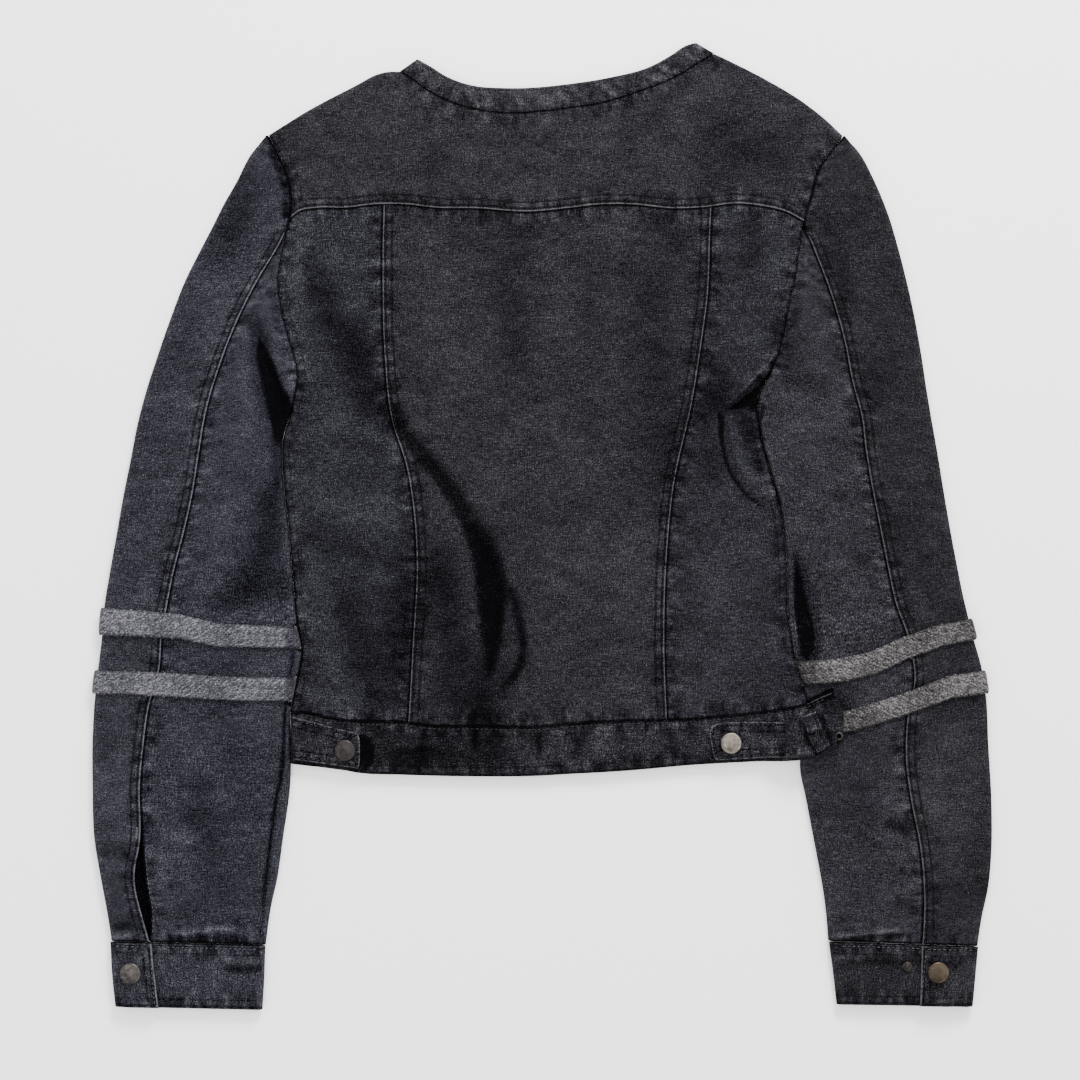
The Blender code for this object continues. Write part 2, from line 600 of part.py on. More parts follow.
def yoke_columns():
    """The yoke's columns run on from those of the panels below it: their shares, and their ends
    at the yoke seam and at the shoulders and neck."""
    seam = []
    for _, left, right, start, end, size, _ in PANELS:
        columns, _, yoke = panel_columns(left, right, start, end, size)
        seam.append(along(yoke, columns))
    bottom = np.vstack(seam)
    neck_left, neck_right = NECK_SEAM[0][0], NECK_SEAM[-1][0]
    share = (bottom[:, 0] - bottom[0, 0]) / np.ptp(bottom[:, 0])
    xs = CORNER_LEFT[0] + 0.2 + share * (CORNER_RIGHT[0] - CORNER_LEFT[0] - 0.4)
    for corner in (neck_left, neck_right):
        xs[np.abs(xs - corner).argmin()] = corner
    top = np.vstack([curve(SHOULDER_LEFT)[::-1], curve(NECK_SEAM)[1:], curve(SHOULDER_RIGHT)[1:]])
    return share, bottom, across_x(top, xs)


def armhole_rows(line):
    """Rows of the yoke up one armhole: the lap's edge, the sleeve's sections, the shoulder fold."""
    run = lengths(line)
    low = [0.0, LAP_STEPS[0], LAP_STEPS[1]]
    high = [run[-1] - d for d in FOLD_STEPS[::-1] + (0.0,)]
    sections = [d for d in run if low[-1] + 1.0 < d < high[0] - 1.0]
    return np.array(low + sections + high) / run[-1]


def back_yoke():
    share, bottom, top = yoke_columns()
    left_rows, right_rows = armhole_rows(ARMHOLE_LEFT), armhole_rows(ARMHOLE_RIGHT)
    us = np.repeat(share[:, None], len(left_rows), axis=1)
    vs = (1 - us) * left_rows[None] + us * right_rows[None]
    inset = np.array([SEAM_GAP / 2, 0.0])
    plan = patch(along(ARMHOLE_LEFT, left_rows) + inset, along(ARMHOLE_RIGHT, right_rows) - inset,
                 bottom, top, us, vs)
    plan[..., 1] += SEAM_GAP / 2 * (1.0 - 2.0 * vs)
    height = body_height(plan, LOW_EDGE, lap(plan, YOKE_LINE, 1))
    sheet("back_yoke", plan, height, DENIM, denim("back_yoke"), BODY_EDGES, (0,))


def front_lift(points, rise):
    """The left front laps over the right one, inside."""
    lap_edge = CENTRE - CLOSURE
    return rise * smoothstep((points[..., 0] - lap_edge + LAP_RAMP + 3.0) / LAP_RAMP)


FRONTS = {
    # side edge, shoulder point, shoulder, seam and edge of the neckband, and x of the columns
    # from the side edge to the closure
    "left": (through(SLEEVE_LEFT, np.arange(HEM_SECTION, -1, -1))[:, 2:4],
             CORNER_LEFT, SHOULDER_LEFT, FRONT_NECK_SEAM_LEFT, FRONT_NECK_EDGE_LEFT,
             (-130.0, -99.8, -96.5, -90.0, -80.0, -64.0, -42.0, -17.0, -8.0, CENTRE + CLOSURE)),
    "right": (through(SLEEVE_RIGHT, np.arange(HEM_SECTION, -1, -1))[:, 2:4],
              CORNER_RIGHT, SHOULDER_RIGHT, FRONT_NECK_SEAM_RIGHT, FRONT_NECK_EDGE_RIGHT,
              (176.0, 170.0, 163.0, 156.0, 148.0, 120.0, 116.0, 108.0, 96.0, 78.0, 58.0, 30.0,
               CENTRE - CLOSURE)),
}


def front_top(side):
    """Points along a front's shoulder and neckline at its columns."""
    _, _, shoulder, neck, _, xs = FRONTS[side]
    line = np.vstack([curve(shoulder)[::-1], curve(neck)[1:], [(xs[-1], neck[-1][1])]])
    return across_x(line, np.array(xs))


def front_panels():
    """The fronts lie on the floor under the back."""
    for side, (inner, corner, _, _, _, xs) in FRONTS.items():
        name = "front_" + side
        xs = np.array(xs)
        edge = np.vstack([inner, [corner]])
        inset = np.array([math.copysign(FRONT_INSET, xs[-1] - edge[0, 0]), 0.0])
        reach = np.abs(xs - edge[0, 0]) / abs(xs[-1] - edge[0, 0])
        blend = np.append(0.0, np.clip(reach / 0.35, 0.0, 1.0))
        bottom = np.vstack([edge[0] + inset, across_x(WAIST_LINE, xs)])
        top = np.vstack([edge[-1] + inset, front_top(side)])
        rows = row_shares(edge)
        middle = top[-1] * rows[:, None] + bottom[-1] * (1.0 - rows[:, None])
        u, v = blend[:, None, None], rows[None, :, None]
        corners = ((1 - u) * (1 - v) * bottom[0] + u * (1 - v) * bottom[-1]
                   + (1 - u) * v * top[0] + u * v * top[-1])
        plan = ((1 - v) * bottom[:, None] + v * top[:, None]
                + (1 - u) * (edge + inset)[None] + u * middle[None] - corners)
        plan[..., 1] += SEAM_GAP / 2 * (1.0 - 2.0 * rows)[None]
        lift = hem_rise(plan)
        if side == "left":
            lift = lift + front_lift(plan, BAND_LOW)
        plate(name, plan, lift, DENIM, denim(name))


# ---------------------------------------------------------------- sleeves

def sleeve_sections(table, steps):
    """Outer ends, directions to the inner ends, widths, seams and slits of sleeve sections."""
    return section_parts(through(table, steps))


def section_parts(rows):
    outer, inner = rows[:, 0:2], rows[:, 2:4]
    width = np.linalg.norm(inner - outer, axis=1)
    return outer, (inner - outer) / width[:, None], width, rows[:, 4], rows[:, 5]


def band_zone(side):
    """First and last section that the knit bands of one sleeve cover."""
    spans = [(first, last) for where, _, first, last, _ in KNIT_BANDS if where == side]
    return min(s[0] for s in spans), max(s[1] for s in spans)


def in_band_zone(side, steps):
    """1 where the knit bands pass round the sleeve, falling to 0 beyond them."""
    first, last = band_zone(side)
    ramp = 0.75
    return (smoothstep((steps - first + 0.25 + ramp) / ramp)
            * smoothstep((last + 0.25 + ramp - steps) / ramp))


def upper_height(points, zone):
    """Upper layer of a sleeve away from its edges; zone is 1 where the knit bands lift it."""
    folds = relief(points)
    return LOFT + np.where(folds < 0.0, folds * (1.0 - BAND_FILL * zone), folds) + BAND_TOP * zone


def fold_turn(distance):
    """How far a folded edge has come round at a distance from its outermost line: 0 to 1."""
    share = min(distance / FOLD_REACH, 1.0)
    return math.sqrt(1.0 - (1.0 - share) ** 2)


def end_rows(grid, normal, trims):
    """Draw the first and last row of a grid in, so that a seam gap stays beyond them, and keep
    the thickness there square to the grid's length."""
    run = np.gradient(grid, axis=1)
    run[..., 2] = 0.0
    run /= np.linalg.norm(run, axis=2, keepdims=True)
    grid[:, 0] += run[:, 0] * trims[0]
    grid[:, -1] -= run[:, -1] * trims[1]
    for row in (0, -1):
        lengthwise = (normal[:, row] * run[:, row]).sum(axis=1, keepdims=True)
        normal[:, row] -= lengthwise * run[:, row]
        normal[:, row] /= np.linalg.norm(normal[:, row], axis=1, keepdims=True)


def top_sleeve(side, table):
    """From the back seam over the outer fold and along the floor to the inner edge."""
    name = "top_sleeve_" + side
    steps = sleeve_steps(table)
    outer, direction, width, seam, _ = sleeve_sections(table, steps)
    zone = in_band_zone(side, steps)
    half_gap = SEAM_GAP / 2
    scale = np.minimum(1.0, width / 12.0)
    retreat = half_gap + (BAND_RETREAT + BAND_CORNER) * zone
    seam_at = seam * width - half_gap
    strip = np.maximum(seam_at - LAP_WIDTH, seam_at * 0.7)
    strip_foot = np.maximum(seam_at - LAP_WIDTH - LAP_SLOPE, seam_at * 0.62)
    fold = [half_gap + d * scale for d in (0.0,) + FOLD_STEPS]
    between = [fold[-1] + (strip_foot - fold[-1]) * share for share in (0.66, 0.33)]
    middle = LOFT / 2 + BAND_BED / 2 * zone
    floor = BAND_BED * zone
    grid = []
    for k, reach in enumerate([seam_at, strip, strip_foot] + between):
        plan = outer + direction * reach[:, None]
        rise = LAP_RISE * (seam < 0.99) if k < 2 else 0.0
        grid.append(with_height(plan, upper_height(plan, zone) + rise))
    for distance, reach in reversed(list(zip((0.0,) + FOLD_STEPS, fold))):
        plan = outer + direction * reach[:, None]
        turn = fold_turn(distance)
        grid.append(with_height(plan, middle + (upper_height(plan, zone) - middle) * turn))
    for distance, reach in zip(FOLD_STEPS[1:], fold[2:]):
        plan = outer + direction * reach[:, None]
        grid.append(with_height(plan, middle + (floor - middle) * fold_turn(distance)))
    for reach in (width * 0.5, width - retreat):
        grid.append(with_height(outer + direction * reach[:, None], floor))
    grid = np.stack(grid)
    normal = grid_normals(grid)
    if normal[0, :, 2].mean() < 0:
        normal = -normal
    normal[0] = rim_normal(normal[0], 0.0)
    end_rows(grid, normal, (half_gap, half_gap))
    wall(name, grid, grid - normal * DENIM, denim(name))


def under_sleeve(side, table, inner_line):
    """The upper layer between the back seam and the inner edge."""
    name = "under_sleeve_" + side
    steps = sleeve_steps(table)[row_of(SEAM_START):]
    outer, direction, width, seam, slit = sleeve_sections(table, steps)
    zone = in_band_zone(side, steps)
    half_gap = SEAM_GAP / 2
    start = (seam + slit) * width + half_gap
    end = width - half_gap - BAND_RETREAT * zone
    scale = np.minimum(1.0, (end - start) / 12.0)
    folded = inner_line[row_of(SEAM_START):, 2]
    fold = [end - d * scale for d in (0.0,) + FOLD_STEPS]
    low = LOW_EDGE + BAND_BED * zone
    grid = []
    for share in np.linspace(0.0, 1.0, 8)[:-1]:
        plan = outer + direction * (start + (fold[-1] - start) * share)[:, None]
        grid.append(with_height(plan, upper_height(plan, zone)))
    for distance, reach in reversed(list(zip((0.0,) + FOLD_STEPS, fold))):
        plan = outer + direction * reach[:, None]
        turn = 1.0 - folded * (1.0 - fold_turn(distance))
        grid.append(with_height(plan, low + (upper_height(plan, zone) - low) * turn))
    grid = np.stack(grid)
    normal = grid_normals(grid)
    if normal[..., 2].mean() < 0:
        normal = -normal
    normal[0] = rim_normal(normal[0], 0.0)
    normal[-1] = rim_normal(normal[-1], folded)
    end_rows(grid, normal, (0.0, half_gap))
    wall(name, grid, grid - normal * DENIM, denim(name))


def ring_loop(side, table, steps, wave, outset, upper_add, bottom):
    """A closed loop of points round the sleeve at each step, outset from its outer face."""
    table = np.array(table)
    sections = np.arange(len(table))
    rows = np.stack([np.interp(steps, sections, column) for column in table.T], axis=1)
    outer, direction, width, seam, _ = section_parts(rows)
    zone = in_band_zone(side, steps)
    lengthwise = np.gradient(outer + direction * width[:, None] / 2, axis=0)
    lengthwise /= np.linalg.norm(lengthwise, axis=1, keepdims=True)
    end = width - SEAM_GAP / 2 - BAND_RETREAT * zone
    middle = LOFT / 2 + BAND_BED / 2 * zone
    foot, last = seam * width + 2.5, end - FOLD_REACH
    bump = seam * width - np.array([LAP_WIDTH + 3.5, LAP_WIDTH + 0.8, -0.8])[:, None]
    near = [(np.full_like(width, d), d, 0.0) for d in (0.0,) + FOLD_STEPS]
    far = [(end - d, d, 0.0) for d in reversed((0.0,) + FOLD_STEPS)]
    outside = [(FOLD_REACH + (bump[0] - FOLD_REACH) * share, FOLD_REACH, 0.0) for share in (0.33, 0.66)]
    strip = [(reach, FOLD_REACH, rise) for reach, rise in zip(bump, (0.0, LAP_RISE, LAP_RISE))]
    inside = [(foot + (last - foot) * k / 7, FOLD_REACH, 0.0) for k in range(7)]
    upper = near + outside + strip + inside + far
    lower = far[::-1][1:] + near[:0:-1]
    loops = []
    for places, below in ((upper, False), (lower, True)):
        for reach, distance, rise in places:
            share = reach / end
            offset = np.interp(share, np.linspace(0.0, 1.0, len(wave)), wave)
            stretched = share * (end + 2 * outset) - outset
            plan = outer + direction * stretched[:, None] - lengthwise * offset[:, None]
            over = outer + direction * np.clip(reach, FOLD_REACH, end - FOLD_REACH)[:, None]
            full = upper_height(over - lengthwise * offset[:, None], zone) + upper_add + rise
            height = middle + ((bottom if below else full) - middle) * fold_turn(distance)
            loops.append(with_height(plan, height))
    return np.stack(loops)


def knit_bands():
    for side, label, first, last, wave in KNIT_BANDS:
        table = SLEEVES[side][0]
        name = f"knit_band_{label}_{side}"
        steps = np.linspace(first, last, 3)
        inner = ring_loop(side, table, steps, wave, CLEAR, CLEAR, BAND_BED - CLEAR)
        outer = ring_loop(side, table, steps, wave, CLEAR + KNIT, CLEAR + KNIT, 0.0)
        wall(name, outer, inner, material(name + "_knit", MELANGE, 0.95), closed=True)


def cuff(side, table):
    """A band of folded denim, open at the slit, whose outer end laps over its inner end."""
    name = "cuff_" + side
    rows = through(table, np.linspace(0.0, len(table) - 1, 4))
    outer, inner, lap_share = rows[:, 0:2], rows[:, 2:4], rows[:, 4]
    width = np.linalg.norm(inner - outer, axis=1)
    direction = (inner - outer) / width[:, None]
    edge_steps = (0.0,) + FOLD_STEPS
    lap_at = lap_share * width
    loft = BAND_LOFT
    rise = FOLDED + SEAM_GAP
    grid = []

    def add(reach, height):
        plan = outer + direction * np.broadcast_to(reach, width.shape)[:, None]
        grid.append(with_height(plan, np.broadcast_to(height, width.shape)))

    def turned(distance, full, middle):
        return middle + (full - middle) * fold_turn(distance)

    middle = loft / 2
    tucked_end = lap_at - CUFF_LAP
    for share in np.linspace(0.0, 1.0, 8):
        add(tucked_end + (width - FOLD_REACH - tucked_end) * share, loft)
    for step in edge_steps[-2::-1]:
        add(width - step, turned(step, loft, middle))
    for step in edge_steps[1:]:
        add(width - step, turned(step, 0.0, middle))
    add(width * 0.5, 0.0)
    for step in edge_steps[::-1]:
        add(step, turned(step, 0.0, middle))
    raised = loft + rise
    ramp_start = np.maximum(tucked_end - CUFF_LAP_SLOPE, FOLD_REACH + 1.0)
    for step in edge_steps[1:]:
        add(step, turned(step, loft + rise * 0.35, middle))
    add(ramp_start, loft + rise * 0.6)
    add(np.maximum(tucked_end - 1.2, ramp_start + 1.5), raised + 0.2)
    for share in (0.33, 0.66, 1.0):
        add(tucked_end + CUFF_LAP * share, raised + 0.1)
    grid = np.stack(grid)
    normal = grid_normals(grid)
    if normal[0, :, 2].mean() < 0:
        normal = -normal
    wall(name, grid, grid - normal * FOLDED, denim(name))


SLEEVES = {"left": (SLEEVE_LEFT, EDGE_LEFT), "right": (SLEEVE_RIGHT, EDGE_RIGHT)}


# ---------------------------------------------------------------- neckband and waistband

def neckband():
    _, _, top = yoke_columns()
    neck = top[(top[:, 0] > NECK_SEAM[0][0] - 0.01) & (top[:, 0] < NECK_SEAM[-1][0] + 0.01)]
    edge = curve(NECK_EDGE)
    length = lengths(neck)[-1]
    fold = np.array(FOLD_STEPS) / length
    seam = lengths(neck) / length
    seam = seam[np.minimum(seam, 1.0 - seam) > fold[-1] + 2.0 / length]
    columns = np.concatenate([[0.0], fold, seam, 1.0 - fold[::-1], [1.0]])
    rows = np.array([SEAM_GAP / 17.0, 0.34, 0.67, 1.0])
    us = np.repeat(columns[:, None], len(rows), axis=1)
    vs = np.repeat(rows[None], len(columns), axis=0)
    plan = coons(neck, edge, NECK_END_LEFT, NECK_END_RIGHT, us, vs)
    ends = [with_fold(NECK_END_LEFT, 1.0), with_fold(NECK_END_RIGHT, 1.0)]
    full = BAND_LOFT + relief(plan)
    low = BAND_LOW + SEAM_GAP
    height = low + (full - low) * rounding(plan, ends)
    sheet("neckband_back", plan, height, FOLDED, denim("neckband_back"), ends)
    for side, (_, _, _, neck, edge, _) in FRONTS.items():
        name = "neckband_front_" + side
        seam = front_top(side)
        seam = seam[np.abs(seam[:, 0] - CENTRE) < abs(neck[0][0] - CENTRE) - 0.5]
        level = CENTRE + math.copysign(NECK_LEVEL, seam[0, 0] - CENTRE)
        share = np.clip((seam[:, 0] - level) / (seam[0, 0] - level), 0.0, 1.0)
        xs = seam[:, 0] + share * (edge[0][0] - seam[0, 0])
        top = across_x(np.vstack([curve(edge), [(seam[-1, 0], edge[-1][1])]]), xs)
        step = np.gradient(seam, axis=0)
        step /= np.linalg.norm(step, axis=1, keepdims=True)
        inward = np.stack([-step[:, 1], step[:, 0]], axis=1) * (1.0 if side == "left" else -1.0)
        seam = seam + inward * SEAM_GAP
        rows = np.array([0.0, 0.5, 1.0])[None, :, None]
        plan = (1 - rows) * seam[:, None] + rows * top[:, None]
        lift = front_lift(plan, BAND_LOW if side == "left" else 0.0)
        plate(name, plan, lift, FOLDED, denim(name))


def waist_outline():
    """Upper and lower edge of the waistband, and its right end, which lies on the sleeve."""
    top = np.vstack([WAIST_LINE, curve(WAIST_END)[1:]])
    bottom = curve(HEM)
    return top, bottom, curve(WAIST_END_EDGE)[::-1]


WAIST_TOP, HEM_LINE, WAIST_RIGHT = waist_outline()
WAIST_CLIMB = (9.0, 14.0, 19.0, 24.0, 29.0, 34.0, 39.0, 44.0, 49.0, 54.0, 59.0, 64.0)
WAIST_LEFT = np.array([HEM_LINE[0], WAIST_TOP[0]])
WAIST_EDGES = [with_fold(WAIST_LEFT, 1.0), with_fold(WAIST_RIGHT, 1.0)]


def waist_top(points):
    """Height of the waistband away from its rounded ends; it lies level over the sleeve."""
    lift = hem_rise(points)
    return WAIST_LOFT + relief(points) * (1.0 - lift / HEM_RISE) + lift


def waist_height(points):
    base = BAND_LOW + hem_rise(points) * SLOPE_ROOM
    return base + (waist_top(points) - base) * rounding(points, WAIST_EDGES)


def waist_plan(columns, rows):
    us = np.repeat(columns[:, None], len(rows), axis=1)
    vs = np.repeat(rows[None], len(columns), axis=0)
    return coons(HEM_LINE, WAIST_TOP, WAIST_LEFT, WAIST_RIGHT, us, vs)


def waistband():
    length = lengths(HEM_LINE)[-1]
    rows = np.array([0.0, 0.33, 0.67, 1.0 - 0.45 / 37.0])
    columns = shares(length, 12.0, FOLD_STEPS, FOLD_STEPS + WAIST_CLIMB)
    plan = waist_plan(columns, rows)
    sheet("waistband_back", plan, waist_height(plan), FOLDED, denim("waistband_back"), WAIST_EDGES)
    for side, end in (("left", WAIST_LEFT), ("right", WAIST_RIGHT)):
        name = "waistband_front_" + side
        xs = np.array(FRONTS[side][-1])
        top_xs = xs
        if side == "right":
            near_end = np.array([204.0, 198.0, 192.0, 187.0, 182.0])
            drawn_in = (WAIST_TOP[-1, 0] - near_end[-1]) / (HEM_LINE[-1, 0] - near_end[-1])
            top_xs = np.concatenate([near_end[-1] + (near_end - near_end[-1]) * drawn_in, xs])
            xs = np.concatenate([near_end, xs])
        rows = np.linspace(0.0, 1.0, 3)[None, :, None]
        plan = ((1 - rows) * across_x(HEM_LINE, xs)[:, None]
                + rows * across_x(WAIST_TOP, top_xs)[:, None])
        plan = np.concatenate([along(end, rows.ravel())[None], plan])
        plan[..., 1] -= SEAM_GAP / 2 * rows[..., 0]
        lift = hem_rise(plan)
        if side == "left":
            lift = lift + front_lift(plan, BAND_LOW)
        plate(name, plan, lift, FOLDED, denim(name))


# ---------------------------------------------------------------- tabs, loop, buttons

TABS = {
    # corners in plan, from the end at the side seam round to the buttoned end
    "left": ((-174.0, -133.5), (-127.4, -145.4), (-127.2, -169.6), (-173.6, -163.0)),
    "right": ((168.0, -133.6), (119.5, -140.2), (119.2, -163.2), (168.0, -160.6)),
}
BUTTONS = {
    "waist_button_left": (-137.5, -156.4),
    "waist_button_right": (131.2, -151.5),
    "cuff_button_left": (-286.6, -311.8),
    "cuff_button_right": (275.4, -311.1),
}
CUFF_SNAP = (254.4, -307.6)
WAIST_EYELET = (205.6, -146.2)


def resting(points, height, upward, thickness, name, mat):
    """A flat piece on the face below it: its underside is that face, moved up."""
    lower = with_height(points, height + upward)
    wall(name, with_height(points, height + upward + thickness), lower, mat)


def waist_tabs():
    for side, corners in TABS.items():
        name = "waist_tab_" + side
        upper_in, upper_out, lower_out, lower_in = (np.array(c) for c in corners)
        us = np.linspace(0.0, 1.0, 11)[:, None, None]
        vs = np.linspace(0.0, 1.0, 4)[None, :, None]
        plan = ((1 - us) * (1 - vs) * upper_in + us * (1 - vs) * upper_out
                + us * vs * lower_out + (1 - us) * vs * lower_in)
        resting(plan, waist_top(plan), CLEAR, FOLDED - 0.2, name, denim(name))


def belt_loop():
    """A bent strip over the waistband's right end."""
    name = "belt_loop_right"
    path = curve([(184.6, -130.8), (187.6, -139.0), (190.4, -147.5), (195.0, -154.8)], 2)
    half_width = 4.6
    step = np.gradient(path, axis=0)
    step /= np.linalg.norm(step, axis=1, keepdims=True)
    across = np.stack([-step[:, 1], step[:, 0]], axis=1)
    offsets = np.linspace(-half_width, half_width, 3)[:, None, None]
    plan = path[None] + offsets * across[None]
    bulge = 1.4 * np.sin(np.linspace(0.0, math.pi, len(path)))[None]
    resting(plan, waist_height(plan) + bulge, CLEAR, 1.6, name, denim(name))


def turned_piece(name, centre, base, profile, sides, mat):
    """A solid of revolution about z: the profile gives radius and height from the bottom up."""
    angles = np.arange(sides) * 2 * math.pi / sides
    points, faces = [], []
    for radius, height in profile:
        points += [(centre[0] + radius * math.cos(a), centre[1] + radius * math.sin(a), base + height)
                   for a in angles]
    for ring in range(len(profile) - 1):
        for k in range(sides):
            low, nxt = ring * sides + k, ring * sides + (k + 1) % sides
            faces.append((low, nxt, nxt + sides, low + sides))
    faces.append(tuple(range(sides))[::-1])
    faces.append(tuple(range((len(profile) - 1) * sides, len(profile) * sides)))
    add_object(name, np.array(points), faces, mat)


def button_profile(radius, rise):
    """A flat-domed cap with a rolled rim on a short shank."""
    return [(radius * 0.62, 0.0), (radius * 0.62, rise * 0.35), (radius * 0.96, rise * 0.42),
            (radius, rise * 0.60), (radius * 0.95, rise * 0.80), (radius * 0.82, rise * 0.90),
            (radius * 0.45, rise * 0.98), (radius * 0.12, rise)]


def highest_under(centre, radius, height_of):
    angles = np.linspace(0.0, 2 * math.pi, 17)[:-1]
    ring = [(centre[0] + r * math.cos(a), centre[1] + r * math.sin(a))
            for a in angles for r in (0.0, radius * 0.5, radius)]
    return float(height_of(np.array(ring)).max())


def hardware():
    for name, centre in BUTTONS.items():
        if name.startswith("waist"):
            base = highest_under(centre, BUTTON_RADIUS * 0.62, waist_height) + CLEAR + FOLDED - 0.2
        else:
            base = BAND_LOFT + FOLDED + SEAM_GAP + 0.2
        turned_piece(name, centre, base + SEAM_GAP, button_profile(BUTTON_RADIUS, BUTTON_RISE), 18,
                     material(name + "_nickel", NICKEL, 0.42, 1.0))
    turned_piece("cuff_snap_right", CUFF_SNAP, BAND_LOFT + SEAM_GAP,
                 button_profile(SNAP_RADIUS, SNAP_RISE), 10,
                 material("cuff_snap_right_nickel", NICKEL, 0.4, 1.0))
    base = highest_under(WAIST_EYELET, EYELET_RADIUS * 0.62, waist_height)
    turned_piece("waist_eyelet_right", WAIST_EYELET, base + SEAM_GAP,
                 button_profile(EYELET_RADIUS, EYELET_RISE), 10,
                 material("waist_eyelet_right_nickel", NICKEL, 0.4, 1.0))


def build():
    for obj in list(bpy.data.objects):
        bpy.data.objects.remove(obj, do_unlink=True)
    back_yoke()
    back_panels()
    front_panels()
    for side, (table, inner_line) in SLEEVES.items():
        top_sleeve(side, table)
        under_sleeve(side, table, inner_line)
    knit_bands()
    cuff("left", CUFF_LEFT)
    cuff("right", CUFF_RIGHT)
    neckband()
    waistband()
    waist_tabs()
    belt_loop()
    hardware()


build()
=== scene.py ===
import math

import bpy
import numpy as np
from mathutils.bvhtree import BVHTree
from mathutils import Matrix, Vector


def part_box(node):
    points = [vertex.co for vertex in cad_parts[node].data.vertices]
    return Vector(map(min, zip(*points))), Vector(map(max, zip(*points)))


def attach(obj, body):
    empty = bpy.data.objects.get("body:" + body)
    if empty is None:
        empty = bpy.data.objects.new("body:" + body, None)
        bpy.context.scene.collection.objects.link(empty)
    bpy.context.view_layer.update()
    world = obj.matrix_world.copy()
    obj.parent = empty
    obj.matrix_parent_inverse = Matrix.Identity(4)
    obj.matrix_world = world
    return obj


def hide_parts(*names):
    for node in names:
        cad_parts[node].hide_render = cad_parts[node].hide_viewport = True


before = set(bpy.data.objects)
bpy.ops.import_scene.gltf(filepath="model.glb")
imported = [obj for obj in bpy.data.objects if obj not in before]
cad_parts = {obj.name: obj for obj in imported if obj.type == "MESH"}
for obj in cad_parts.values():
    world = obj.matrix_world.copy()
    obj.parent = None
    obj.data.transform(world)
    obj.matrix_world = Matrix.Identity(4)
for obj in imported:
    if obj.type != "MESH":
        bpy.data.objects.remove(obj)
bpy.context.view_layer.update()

mm = 0.001

# sizes of the laid jacket in millimetres: x to the wearer's right, y towards the neck, z up
cloth = {
    "denim": 1.2,          # one layer
    "folded": 2.0,         # bands that are folded and stitched
    "seamGap": 0.3,
    "loft": 6.2,           # top of the upper layer
    "bandLoft": 6.6,       # top of the neckband and cuffs
    "waistLoft": 6.8,      # top of the waistband
    "foldReach": 3.5,      # the upper layer turns down over this width at a folded edge
    "valleyDepth": 3.3,
    "lapRise": 0.6,        # a lapped seam stands this much higher
    "lapWidth": 6.3,       # as far as its second row of stitches
    "lapSlope": 1.3,
    "bandBed": 2.6,        # the sleeve's underside rises this much over the knit bands
    "bandTop": 0.7,
    "bandFill": 0.52,      # and its valleys are this much shallower there
    "bandRetreat": 2.8,
    "bandCorner": 1.7,
    "bandClear": 0.6,
    "knit": 2.0,
    "frontInset": 0.3,     # the fronts stay this far inside the sleeves' edges
    "frontUnder": 5.0,     # but reach this far under the left sleeve above and below its knit bands
    "frontBeside": 0.7,    # and this far under the bands' rounded ends
    "centre": 8.0,
    "closure": 13.0,
    "lapRamp": 9.0,
    "hemRise": 9.3,        # the waistband's right end lies on the sleeve, this high
    "riseSide": (150.0, 27.0), "riseBelow": (-60.0, 56.0),      # where that begins, and over which width
    "foldsBelow": {"left": (100.0, 28.0), "right": (120.0, 42.0)},      # the body's side edges turn down
    "foldStart": 0.2,
    "slopeRoom": 1.08,
    "grid": 2.3,           # size of the cloth's faces
    "fineGrid": 1.6,       # where its folds are narrow
}

# sleeve sections from the shoulder to the cuff seam: outer and inner end of each in plan,
# the back seam as a share of the way across, and the width of the open slit
sleeveLeft = [
    (-196.4, 268.4, -189.4, 268.2, 1, 0), (-203.3, 260.1, -184.4, 259.3, 1, 0),
    (-214.5, 239, -176.8, 241.8, 1, 0), (-222.9, 224.3, -174.6, 227.8, 1, 0),
    (-230.6, 208.9, -176, 214.5, 1, 0), (-240.4, 190, -180.2, 197.8, 0.956, 0),
    (-249.5, 171.8, -184.4, 175.3, 0.813, 0), (-260.1, 144.5, -182.3, 150.1, 0.638, 0),
    (-269.1, 118.6, -176.8, 129.2, 0.529, 0), (-276.8, 94.8, -171.1, 106, 0.454, 0),
    (-283.1, 71, -175.3, 81.5, 0.443, 0), (-287.3, 49.3, -181.6, 59.8, 0.458, 0),
    (-292.9, 21.3, -180.9, 28.3, 0.440, 0), (-297.8, -6.6, -177.4, -3.1, 0.396, 0),
    (-302.8, -34.6, -174.8, -34.6, 0.353, 0), (-306.2, -57.7, -171.1, -71.8, 0.321, 0),
    (-307.4, -73.8, -168.3, -84.3, 0.303, 0), (-310.4, -99.8, -171.1, -105.3, 0.309, 0),
    (-313, -124, -175.9, -130, 0.283, 0), (-314.6, -150.1, -176, -150.1, 0.265, 0),
    (-314.6, -181.6, -176.4, -181.6, 0.245, 0), (-313.2, -220.1, -181.6, -220.1, 0.247, 0.012),
    (-309, -245.3, -185.1, -245.3, 0.198, 0.058), (-303.4, -276.1, -190.8, -272.6, 0.222, 0.045),
    (-301.3, -290.1, -193.5, -292.9, 0.253, 0),
]
